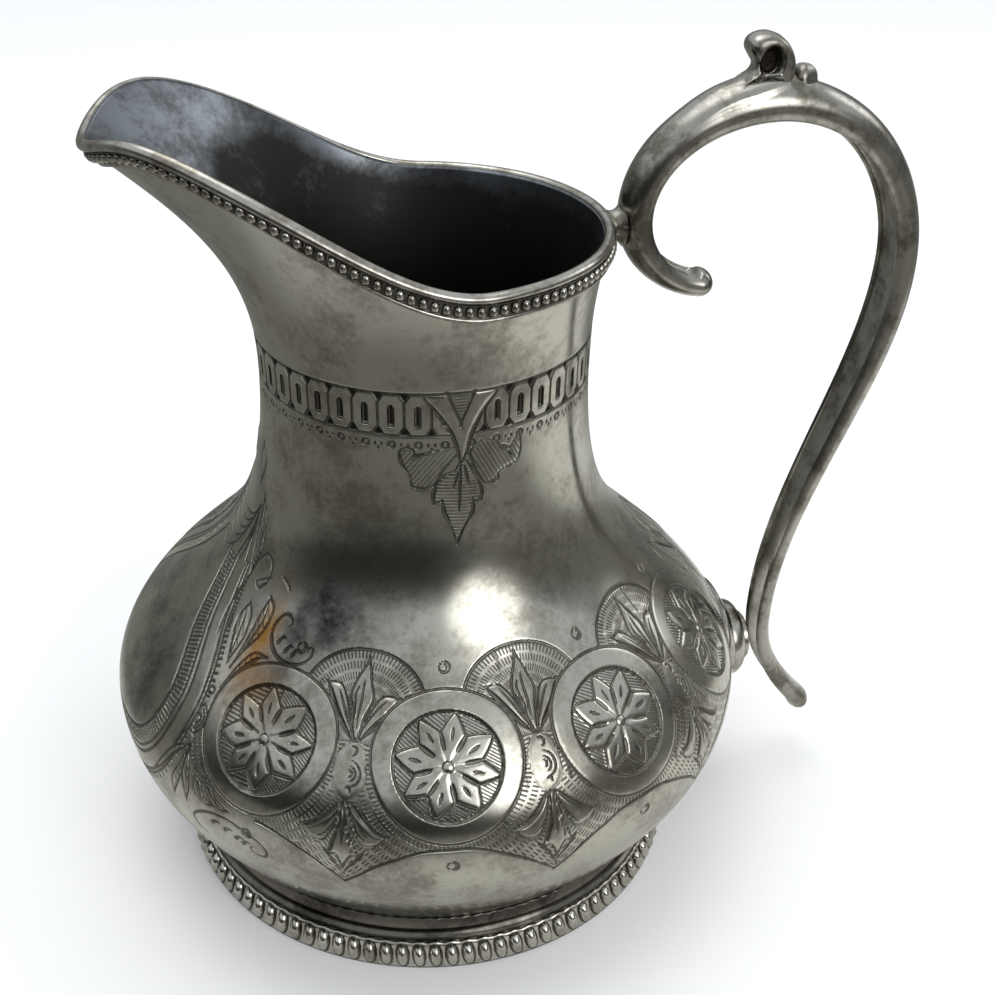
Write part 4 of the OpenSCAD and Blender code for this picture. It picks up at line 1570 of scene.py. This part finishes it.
@dataclass
class Foot:
    """The spun foot ring with its hollow moulding and leaning bead border."""

    body: BodyForm
    foot_r: float = 36.4
    foot_wall: float = 1.2
    cavetto: float = 1.0
    neck_in: float = 0.75
    wire: float = 0.2
    wire_dots: int = 120
    wire_wave: float = 0.09
    strip_h: float = 3.7
    strip_lean: float = 1.2
    strip_t: float = 0.6
    lift: float = 0.2
    beads: int = 98
    bead_rise: float = 1.0
    bead_w: float = 1.74
    bead_h: float = 3.1
    bead_lean: float = 7.0
    ground: float = 0.45
    scallop: float = 0.1
    columns: int = 480
    bead_columns: int = 8
    bead_faces: tuple[int, int] = (12, 8)

    def build(self) -> list[Piece]:
        """Makes the ring, and the border with its beads.

        Returns:
            The pieces.
        """
        b = self.body
        seat = self.foot_r - self.strip_t
        top = seat - self.strip_lean + 0.25
        inner = b.seat_r - 2.2 * self.foot_wall
        wire_z = b.foot_h - self.wire
        neck = b.seat_r - self.neck_in
        hollow = bezier([(top, self.strip_h + 0.1), (top - self.cavetto, self.strip_h + 0.5),
                         (neck + 0.05, wire_z - 2.1), (neck, wire_z - 0.6)], np.linspace(0, 1, 24))
        hollow = np.vstack([hollow, [(b.seat_r - 0.1, wire_z - self.wire)]])
        turn = np.linspace(-math.pi / 2, math.pi / 2, 7)
        wire = np.stack([b.seat_r + self.wire * (0.4 + np.cos(turn)), wire_z + self.wire * np.sin(turn)], -1)
        skirt = [(seat - 2 * self.foot_wall, 0), (seat + 0.35, 0), (seat + 0.35, 0.35),
                 (top, self.strip_h - 0.2)]
        outline = np.vstack([skirt, hollow, wire, [(inner, b.foot_h), (inner, self.strip_h)]])
        mesh = spun_mesh("foot_ring", outline, self.columns, Matrix.Identity(4))
        q = mesh_points(mesh)
        bearing = np.arctan2(q[:, 1], q[:, 0])
        on = (q[:, 2] > wire_z - 0.9 * self.wire) & (np.hypot(*q.T[:2]) > b.seat_r + 0.5 * self.wire)
        q[:, :2] *= np.where(on, 1 + self.wire_wave * np.cos(self.wire_dots * bearing) / b.seat_r, 1)[:, None]
        mesh.vertices.foreach_set("co", (q * MM).ravel())
        pieces = [add_piece(mesh, ["foot_ring"], [FOOT_PAINTED_DARK.material()])]
        pieces.append(self.border(seat))
        return pieces

    def border(self, seat: float) -> Piece:
        """Makes the leaning strip with its scalloped edge and its beads.

        Args:
            seat: Radius of the ring that it is soldered to, at the table.

        Returns:
            The piece.
        """
        columns = self.beads * self.bead_columns
        face = np.linspace(self.lift, self.strip_h - 0.5, 12)
        section = [(self.lift, 0.02)] + [(z, mix(0.5, 0.35, (z - self.lift) / self.strip_h)) for z in face]
        section += [(self.strip_h - 0.35, 0.62), (self.strip_h - 0.1, 0.66), (self.strip_h, 0.5),
                    (self.strip_h, 0.02)]
        heights, offs = np.array(section).T
        middle = self.lift + 0.1 + self.bead_h / 2

        def strip(i: Array, j: Array) -> Array:
            """Points of the strip.

            Args:
                i: Numbers round the jug.
                j: Numbers round the section.

            Returns:
                A point for each.
            """
            k = j % len(heights)
            wave = np.where(heights[k] > self.strip_h - 0.45, np.cos(math.tau * i / self.bead_columns), 0)
            z = heights[k] + self.scallop * wave
            r = seat - self.strip_lean * heights[k] / self.strip_h + offs[k]
            turn = math.tau * i / columns
            return np.stack([r * np.cos(turn), r * np.sin(turn), z], -1)

        mesh = grid_mesh("foot_bead_border", columns, len(heights), strip, closed=True)
        q = mesh_points(mesh)
        pitch = math.tau / self.beads
        bearing = np.arctan2(q[:, 1], q[:, 0])
        lean = math.tan(math.radians(self.bead_lean))
        across = ((bearing + pitch / 2) % pitch - pitch / 2) * np.hypot(*q.T[:2])
        across = across + lean * (q[:, 2] - middle)
        oval = np.hypot(across / (self.bead_w / 2), (q[:, 2] - middle) / (self.bead_h / 2))
        ground = (oval - 1.0) * self.bead_w / 2 - 0.06
        flat = len(q)
        tilt = math.atan2(self.strip_lean, self.strip_h)
        lay = Matrix.Rotation(-tilt, 4, "Y") @ Matrix.Rotation(math.radians(self.bead_lean), 4, "X")
        size = Matrix.Diagonal((self.bead_rise, self.bead_w / 2, self.bead_h / 2, 1))
        where = Matrix.Translation((seat - self.strip_lean * middle / self.strip_h + 0.4, 0, middle))
        spins = [Matrix.Rotation(pitch * k, 4, "Z") for k in range(self.beads)]
        places = [Matrix.Scale(MM, 4) @ spin @ where @ lay @ size for spin in spins]
        add_beads(mesh, places, *self.bead_faces)
        q = mesh_points(mesh)
        off = np.hypot(*q.T[:2]) - (seat - self.strip_lean * q[:, 2] / self.strip_h)
        stand = np.where(off < self.ground, -0.1, (off - self.ground) * 1.1)
        stand[:flat] = np.clip(ground, -0.2, FAR)
        set_field(mesh, "cut", stand)
        return add_piece(mesh, ["foot_bead_border"], [FOOT_BEADS_PAINTED_LIGHT.material()])


# Handle


@dataclass
class Handle:
    """The cast loop, its thumb leaf and bud, and the lug that joins it to the rim."""

    body: BodyForm
    lug_x: float = 25.02
    lug_len: float = 1.0
    lug_r: float = 2.4
    lug_drop: float = 1.2
    solder: float = 0.02
    bow_reach: float = 38.2
    bow_drop: float = 9.3
    crown_rise: float = 14.0
    curl_drop: float = 10.2
    curl_reach: float = 9.4
    tail_drop: float = 13.6
    tail_reach: float = 8.3
    boss_z: float = 23.0
    boss_line_x: float = 52.66
    joint_rise: float = 3.5
    depths: tuple[float, ...] = (3.8, 4.8, 6.0, 5.0, 3.3, 3.4)
    widths: tuple[float, ...] = (5.4, 6.68, 7.4, 7.4, 5.4, 5.4)
    groove: float = 0.36
    rib_reach: float = 0.8
    swell: float = 0.5
    fold: float = 0.45
    thumb_seat: float = 0.55
    thumb_w: float = 4.6
    thumb_h: float = 6.4
    bud_r: float = 1.75
    sides: int = 110
    channel: int = 18
    rings: int = 72
    caps: int = 9
    bud_rows: int = 16
    bud_columns: int = 32
    lug_columns: int = 40
    sharp: float = 38.0

    def curves(self) -> list[Points]:
        """The five curves of its centre line.

        Returns:
            Four (x, z) control points for each curve.
        """
        b = self.body
        x0 = self.lug_x + self.lug_len + self.solder + self.depths[1] / 2
        line_z = self.boss_z + self.joint_rise
        crown = (x0 + 0.457 * self.bow_reach, b.rim_z + self.crown_rise)
        bow = (x0 + self.bow_reach, b.rim_z - self.bow_drop)
        tip = (x0 + self.curl_reach, b.rim_z - self.curl_drop)
        tail = (self.boss_line_x + self.tail_reach, self.boss_z - self.tail_drop)
        lx = self.boss_line_x
        return [
            [tip, (x0 + 0.59 * self.curl_reach, tip[1] + 0.4),
             (x0, b.rim_z - 0.58 * self.curl_drop), (x0, b.rim_z)],
            [(x0, b.rim_z), (x0, b.rim_z + 0.56 * self.crown_rise),
             (mix(x0, crown[0], 0.454), crown[1]), crown],
            [crown, (mix(crown[0], bow[0], 0.556), crown[1]), (bow[0], mix(bow[1], crown[1], 0.565)), bow],
            [bow, (bow[0], mix(bow[1], line_z, 0.31)), (lx, mix(bow[1], line_z, 0.62)), (lx, line_z)],
            [(lx, line_z), (lx, mix(line_z, tail[1], 0.44)),
             (mix(lx, tail[0], 0.49), mix(line_z, tail[1], 0.74)), tail]]

    def build(self) -> list[Piece]:
        """Makes the loop and what is on it.

        Returns:
            The pieces.
        """
        curves = self.curves()
        bearings = [math.pi / 2 * k / self.caps for k in range(1, self.caps + 1)]
        stations = [(0, 0.0, -math.sin(b), math.cos(b)) for b in reversed(bearings)]
        stations += [(c, i / self.rings, 0.0, 1.0) for c in range(len(curves))
                     for i in range(0 if c == 0 else 1, self.rings + 1)]
        stations += [(4, 1.0, math.sin(b), math.cos(b)) for b in bearings]
        rows = []
        for c, t, shift, scale in stations:
            ease = t * t * (3 - 2 * t)
            f = bezier_slope(curves[c], np.array(t))
            rows.append((bezier(curves[c], np.array(t)) + shift * self.depths[0] / 2 * f, f,
                         mix(self.depths[c], self.depths[c + 1], ease),
                         mix(self.widths[c], self.widths[c + 1], ease), scale,
                         step_up(t if c == 0 else 1 - t if c == 4 else 1, 0.0, 0.12)))
        centre, slope, depth, width, size, vent = map(np.array, zip(*rows))
        crown_seat = curves[1][3][1] + self.depths[2] / 2 - self.thumb_seat
        face_x = self.lug_x + self.lug_len + self.solder
        brink = math.acos(self.rib_reach)
        outside = np.linspace(-brink, math.pi + brink, self.sides, endpoint=False)
        inside = np.linspace(math.pi + brink, math.tau - brink, self.channel, endpoint=False)
        bearings = np.concatenate([outside, inside])
        lap = len(bearings)

        def loop(i: Array, j: Array) -> Array:
            """Points of the loop.

            Args:
                i: Numbers round the section.
                j: Stations along the loop.

            Returns:
                A point for each.
            """
            b = bearings[i % lap]
            n = np.stack([-slope[j][:, 1], slope[j][:, 0]], -1)
            inward = (np.sin(b) < 0) & (np.abs(np.cos(b)) < self.rib_reach)
            hollow = np.where(inward, np.maximum(0, 1 - (np.cos(b) / self.rib_reach) ** 2) ** 0.6, 0)
            out = depth[j] * (np.sin(b) / 2 + self.groove * vent[j] * hollow)
            from_crown = centre[j][:, 0] - curves[1][3][0]
            above = centre[j][:, 1] > self.body.rim_z
            up = np.maximum(np.sin(b), 0)
            swell = self.swell * np.exp(-((from_crown + 1.0) / 5.5) ** 2) * up ** 3
            brim = np.interp(from_crown, (-9, -3, -1, 2.2), (0.42, 0.48, 0.6, 0.95))
            fold = np.arctan2(np.sin(b), np.abs(np.cos(b)))
            leaf = self.fold * step_up(fold, brim, brim + 0.09)
            leaf = leaf * step_up(from_crown, -12, -6) * step_up(-from_crown, -3.6, -1.6)
            out = out + np.where(above, swell + leaf, 0)
            q = centre[j] + (size[j] * out)[:, None] * n
            return np.stack([np.maximum(q[:, 0], face_x), size[j] * width[j] / 2 * np.cos(b), q[:, 1]], -1)

        plate = HANDLE.material()
        mesh = grid_mesh("handle", lap, len(stations) - 1, loop, closed=True)
        mesh.set_sharp_from_angle(angle=math.radians(self.sharp))
        pieces = [add_piece(mesh, ["handle"], [plate])]
        pieces += self.thumb(curves[1][3][0], crown_seat + self.solder, plate)
        waist = bezier([(0.86, -0.5), (0.76, 0.1), (0.84, 0.9), (1.2, 1.5)], np.linspace(0, 1, 13))
        outline = np.vstack([[(0, -0.5)], waist * (self.lug_r, self.lug_len), [(0, 1.5 * self.lug_len)]])
        base = Matrix.Translation((self.lug_x, 0, self.body.rim_z - self.lug_drop))
        base = base @ Matrix.Rotation(math.pi / 2, 4, "Y")
        mesh = spun_mesh("rim_lug", outline, self.lug_columns, base)
        pieces.append(add_piece(mesh, ["rim_lug"], [plate]))
        return pieces

    def thumb(self, crown_x: float, seat: float, plate: Material) -> list[Piece]:
        """Makes the leaf hood that the thumb rests on, dished on both faces, and the bud behind it.

        Args:
            crown_x: Where the handle's crown is.
            seat: Height of the flat that they stand on.
            plate: Their finish.

        Returns:
            The pieces.
        """
        hood = [(-2.6, -1.6), (-2.6, -1.6), (-1.5, -0.2), (-0.2, 0.9), (0.6, 1.9), (0.8, 2.9), (0.3, 3.9),
                (-0.25, 5.0), (-0.1, 6.2), (0.9, 7.0), (2.5, 7.2), (4.2, 6.5), (5.5, 5.0), (6.2, 3.1),
                (6.2, 1.2), (5.6, -1.6), (5.6, -1.6)]
        hood = spline(hood, closed=True, share=6)[:-1] * (1, self.thumb_h / 6.95)
        eye = np.array([3.2, 3.0])
        share = np.linspace(0, 1, 26) ** 0.8
        share = np.concatenate([share, share[-2::-1]])
        side = np.concatenate([-np.ones(25), np.ones(26)])
        hollows = ((2.6, 3.1, 1.75, 2.35, -14, 1.75), (0.8, 2.0, 1.9, 1.1, 40, 0.6),
                   (1.9, -0.2, 3.0, 1.9, 6, 1.6))
        x0 = crown_x - 4.1

        def scoop(q: Array) -> Array:
            """Depth of the hood's hollow: the oval under its brow, the run-out and the recess at its base.

            Args:
                q: Places in the hood's plane.

            Returns:
                The depth at each.
            """
            depth = 0.0
            for x, z, wide, tall, lean, deep in hollows:
                turn = math.radians(lean)
                u = (q[:, 0] - x) * math.cos(turn) + (q[:, 1] - z) * math.sin(turn)
                v = (q[:, 1] - z) * math.cos(turn) - (q[:, 0] - x) * math.sin(turn)
                depth = depth + (deep * (1 - step_up(np.hypot(u / wide, v / tall), 0.45, 1.05))) ** 4
            return depth ** 0.25

        def leaf(i: Array, j: Array) -> Array:
            """Points of the hood.

            Args:
                i: Numbers round its edge.
                j: Numbers from face to face.

            Returns:
                A point for each.
            """
            q = eye + (hood[i % len(hood)] - eye) * share[j][:, None]
            thick = (self.thumb_w / 2 - scoop(q)) * np.maximum(0, 1 - share[j] ** 7) ** 0.5
            return np.stack([x0 + q[:, 0], side[j] * thick, seat + q[:, 1]], -1)

        mesh = grid_mesh("thumb_scroll", len(hood), len(share) - 1, leaf, closed=True)
        p = mesh_points(mesh)
        # The hood's deepest hollows go black through the cut field: painted shade.
        set_field(mesh, "cut", 1.1 - scoop(p[:, ::2] - (x0, seat)))
        pieces = [add_piece(mesh, ["thumb_scroll"], [plate])]

        def bud(i: Array, j: Array) -> Array:
            """Points of the bud, flared where it grows from the handle.

            Args:
                i: Numbers round it.
                j: Numbers up it.

            Returns:
                A point for each.
            """
            up = math.pi * j / self.bud_rows - math.pi / 2
            turn = math.tau * i / self.bud_columns
            r = self.bud_r * np.where(up < 0, 1 - 0.35 * np.sin(up), np.cos(up)) * (j > 0)
            z = seat + 0.3 + 1.15 * self.bud_r * np.sin(up)
            ridge = 1 + 0.12 * np.cos(3 * turn)
            x = x0 + 6.1 + self.bud_r + ridge * r * np.cos(turn)
            return np.stack([x, ridge * r * np.sin(turn), z], -1)

        mesh = grid_mesh("thumb_bud", self.bud_columns, self.bud_rows, bud, closed=True)
        pieces.append(add_piece(mesh, ["thumb_bud"], [plate]))
        return pieces


@dataclass
class Boss:
    """The stepped plate, dome and collar that carry the handle's lower end."""

    body: BodyForm
    boss_z: float = 23.0
    flange_r: float = 9.8
    flange_h: float = 2.6
    plate_t: float = 0.9
    dome_r: float = 6.0
    dome_h: float = 2.4
    collar_r: float = 3.8
    collar_h: float = 1.0
    collar_edge: float = 0.2
    flange_columns: int = 96
    dome_columns: int = 72

    def build(self) -> list[Piece]:
        """Makes the boss along the X axis.

        Returns:
            The pieces.
        """
        belly = float(self.body.belly_at(np.array(self.boss_z)))
        top = belly + self.flange_h
        plate = BOSS.material()
        d = self.dome_r
        radii = np.array([0, 3.0, d + 0.4, d + 0.55, d + 0.7, 7.2, 7.8, 8.15, 8.3, 8.35, 8.6, 9.2, 9.6, 9.75,
                          self.flange_r, self.flange_r])
        drops = [0, 0, 0, 0.05, 0.2, 0.9, 1.7, 2.25]
        lips = [1.0, 0.98, 1.0, 0.98, 0.9, 0.75, 0.5, -0.2]
        rises = np.array([top - drop for drop in drops] + [0] * len(lips))
        lifts = np.array([0] * len(drops) + lips) * self.plate_t

        def wrap(i: Array, j: Array) -> Array:
            """Points of the flange: a flat seat with a sloping shoulder, and a plate that hugs the belly.

            Args:
                i: Numbers round it.
                j: Numbers from its edge to its middle.

            Returns:
                A point for each.
            """
            a = math.tau * i / self.flange_columns
            k = len(radii) - 1 - j
            y, z = radii[k] * np.cos(a), self.boss_z + radii[k] * np.sin(a)
            skin = np.sqrt(self.body.belly_at(z) ** 2 - y ** 2)
            seat = np.maximum(rises[k], skin + self.plate_t)
            return np.stack([np.where(k < len(drops), seat, skin + lifts[k]), y, z], -1)

        mesh = grid_mesh("boss_flange", self.flange_columns, len(radii) - 1, wrap, closed=True)
        pieces = [add_piece(mesh, ["boss_flange"], [plate])]
        dome = bezier([(self.dome_r, 0), (self.dome_r, 0.55 * self.dome_h), (self.dome_r - 0.4, self.dome_h),
                       (self.collar_r + 0.2, self.dome_h)], np.linspace(0, 1, 14))
        r, h, edge = self.collar_r, self.collar_h, self.collar_edge
        collar = [(0, 0), (r - edge, 0), (r, edge), (r, h - edge), (r - edge, h), (0, h)]
        for name, outline, x in (("boss_dome", np.vstack([[(0, 0)], dome, [(0, self.dome_h)]]), top),
                                 ("boss_collar", np.array(collar), top + self.dome_h)):
            base = Matrix.Translation((x, 0, self.boss_z)) @ Matrix.Rotation(math.pi / 2, 4, "Y")
            mesh = spun_mesh(name, outline, self.dome_columns, base)
            pieces.append(add_piece(mesh, [name], [plate]))
        return pieces


# Studio


@dataclass
class Studio:
    """The pale floor, soft light, dark cards that silver needs to show its shape, and the camera."""

    lamps: tuple[tuple, ...] = (("window_softbox", (190, -440, 290), (0, 0, 45), 480, 2.7),
                                ("top_softbox", (-60, 200, 950), (0, 0, 50), 1200, 11.0),
                                ("side_softbox", (640, 170, 400), (0, 0, 60), 520, 1.5))
    lamp_fade: Pair = (0.14, 0.5)
    floor_half: float = 3000.0
    segments: int = 96
    curtain_r: float = 800.0
    curtain_h: float = 420.0
    curtain_top: str = "#a8a9ab"
    cloth: str = "#7b7973"
    cloth_pale: str = "#e6e4de"
    cloth_edge: Pair = (60.0, 125.0)
    cloth_middle: float = 75.0
    cloth_squeeze: float = 0.6
    dusk_from: Triple = (-0.64, -0.77, 0.0)
    dusk_pale: str = "#7e7c77"
    dusk_deep: str = "#302f2d"
    dusk_span: Pair = (0.3, 0.93)
    dusk_edge: Pair = (140.0, 550.0)
    surround: tuple[float, float, float, float] = (0.94, 0.97, 1.0, 1.0)
    surround_strength: float = 0.84
    camera_at: Triple = (-34.4, -180.6, 164.0)
    camera_turn: Triple = (60.03, 0.0, -11.66)
    lens: float = 54.98
    shift: Pair = (0.0523, -0.0246)

    def build(self) -> None:
        """Makes the whole studio."""
        scene = bpy.context.scene
        scene.view_settings.view_transform = "Standard"
        self.world()
        self.floor()
        for lamp in self.lamps:
            self.lamp(*lamp)
        self.table()
        self.curtain()
        self.camera()

    def world(self) -> None:
        """Gives an even, pale surround."""
        world = bpy.data.worlds.new("pale_surround")
        bpy.context.scene.world = world
        world.use_nodes = True
        back = world.node_tree.nodes["Background"]
        back.inputs["Color"].default_value = self.surround
        back.inputs["Strength"].default_value = self.surround_strength

    def floor(self) -> None:
        """Lays a pale floor that the jug's shadow falls on."""
        bm = bmesh.new()
        bmesh.ops.create_grid(bm, x_segments=1, y_segments=1, size=self.floor_half * MM)
        mesh = bpy.data.meshes.new("floor")
        bm.to_mesh(mesh)
        bm.free()
        floor = put("floor", mesh)
        material = bpy.data.materials.new("pale_floor")
        s = Shader(material)
        shader = s.node("BsdfPrincipled", Base_Color=(0.9, 0.9, 0.9, 1), Roughness=0.8)
        s.node("OutputMaterial", Surface=shader)
        mesh.materials.append(material)

    def lamp(self, name: str, at: Sequence[float], aim: Sequence[float], size: float, power: float) -> None:
        """Hangs a soft lamp that is bright in the middle and fades to its edge.

        Args:
            name: Its name.
            at: Its place in millimetres.
            aim: What it points at.
            size: Its side in millimetres.
            power: Its power in watts.
        """
        light = bpy.data.lights.new(name, "AREA")
        light.size = size * MM
        light.energy = power
        s = Shader(light)
        face = s.node("NewGeometry", out="Parametric")
        off = s.node("VectorMath", {"operation": "DISTANCE"}, face, (0.5, 0.5, 0.0), out="Value")
        fade = s.node("MapRange", SMOOTH, off, *self.lamp_fade, 1.0, 0.0)
        glow = s.node("Emission", Strength=fade)
        s.node("OutputLight", Surface=glow)
        lamp = put(name, light)
        lamp.location = Vector(at) * MM
        lamp.rotation_euler = (Vector(aim) - Vector(at)).to_track_quat("-Z", "Y").to_euler()

    def table(self) -> None:
        """Lays a grey cloth round the jug that only the silver's reflections show."""
        bm = bmesh.new()
        bmesh.ops.create_circle(bm, cap_ends=True, segments=self.segments, radius=self.curtain_r * MM)
        bmesh.ops.translate(bm, verts=bm.verts, vec=(0, 0, 0.5 * MM))
        material = bpy.data.materials.new("grey_cloth")
        s = Shader(material)
        at = s.node("Mapping", Vector=s.node("TexCoord", out="Object"), Scale=(self.cloth_squeeze, 1, 1),
                    Location=(-self.cloth_squeeze * self.cloth_middle * MM, 0, 0))
        reach = s.node("VectorMath", {"operation": "LENGTH"}, at, out="Value")
        edge, far = ([d * MM for d in span] for span in (self.cloth_edge, self.dusk_edge))
        fade = s.node("MapRange", SMOOTH, reach, *edge)
        shade = s.node("Mix", RGBA, Factor=fade, in_6=linear(self.cloth_pale), in_7=linear(self.cloth), out=2)
        fade = s.node("MapRange", SMOOTH, reach, *far)
        shade = s.node("Mix", RGBA, Factor=fade, in_6=shade, in_7=self.dusk(s), out=2)
        self.unseen(material, bm, s, shade)

    def dusk(self, s: Shader) -> Socket:
        """The far surround's shade, which is darkest on the near left.

        Args:
            s: The shader of a surface round the stage.

        Returns:
            The colour.
        """
        way = s.node("VectorMath", {"operation": "NORMALIZE"}, s.node("TexCoord", out="Object"))
        side = s.node("VectorMath", {"operation": "DOT_PRODUCT"}, way, self.dusk_from, out="Value")
        fade = s.node("MapRange", SMOOTH, side, *self.dusk_span)
        return s.node("Mix", RGBA, Factor=fade, in_6=linear(self.dusk_pale), in_7=linear(self.dusk_deep),
                      out=2)

    def curtain(self) -> None:
        """Hangs a low dark curtain round the stage, which gives silver its dark reflections."""
        bm = bmesh.new()
        high = self.curtain_h * MM
        reach = self.curtain_r * MM
        bmesh.ops.create_cone(bm, segments=self.segments, radius1=reach, radius2=reach, depth=high)
        bmesh.ops.translate(bm, verts=bm.verts, vec=(0, 0, high / 2))
        material = bpy.data.materials.new("dark_curtain")
        s = Shader(material)
        up = s.node("SeparateXYZ", None, s.node("TexCoord", out="Object"), out="Z")
        fade = s.node("MapRange", SMOOTH, up, 0.5 * high, high)
        shade = s.node("Mix", RGBA, Factor=fade, in_6=self.dusk(s), in_7=linear(self.curtain_top), out=2)
        self.unseen(material, bm, s, shade)

    @staticmethod
    def unseen(material: Material, bm: bmesh.types.BMesh, s: Shader, shade: Socket) -> None:
        """Puts up a matt surface that reflections show but the camera doesn't.

        Args:
            material: Its material, whose name it takes.
            bm: Its shape, which is used up.
            s: Its shader.
            shade: Its colour.
        """
        shader = s.node("BsdfPrincipled", Base_Color=shade, Roughness=0.9)
        s.node("OutputMaterial", Surface=shader)
        mesh = bpy.data.meshes.new(material.name)
        bm.to_mesh(mesh)
        bm.free()
        mesh.materials.append(material)
        card = put(material.name, mesh)
        card.visible_camera = False
        card.visible_diffuse = False
        card.visible_shadow = False

    def camera(self) -> None:
        """Sets the camera where the jug is seen from."""
        data = bpy.data.cameras.new("camera")
        data.lens = self.lens
        data.sensor_width = 36.0
        data.shift_x, data.shift_y = self.shift
        data.clip_start, data.clip_end = 0.01, 50.0
        camera = put("camera", data)
        camera.location = Vector(self.camera_at) * MM
        camera.rotation_euler = [math.radians(a) for a in self.camera_turn]
        bpy.context.scene.camera = camera


def main() -> None:
    """Builds the studio and every piece of the jug, and notes the sizes."""
    logging.basicConfig(level=logging.INFO, format="%(name)s %(message)s")
    Studio().build()
    form = BodyForm()
    for part in (Body(form), RimBorder(form), Foot(form), Handle(form), Boss(form)):
        for piece in part.build():
            LOG.info("%s: %d faces", piece.name, len(piece.data.polygons))


if __name__ == "__main__":
    main()
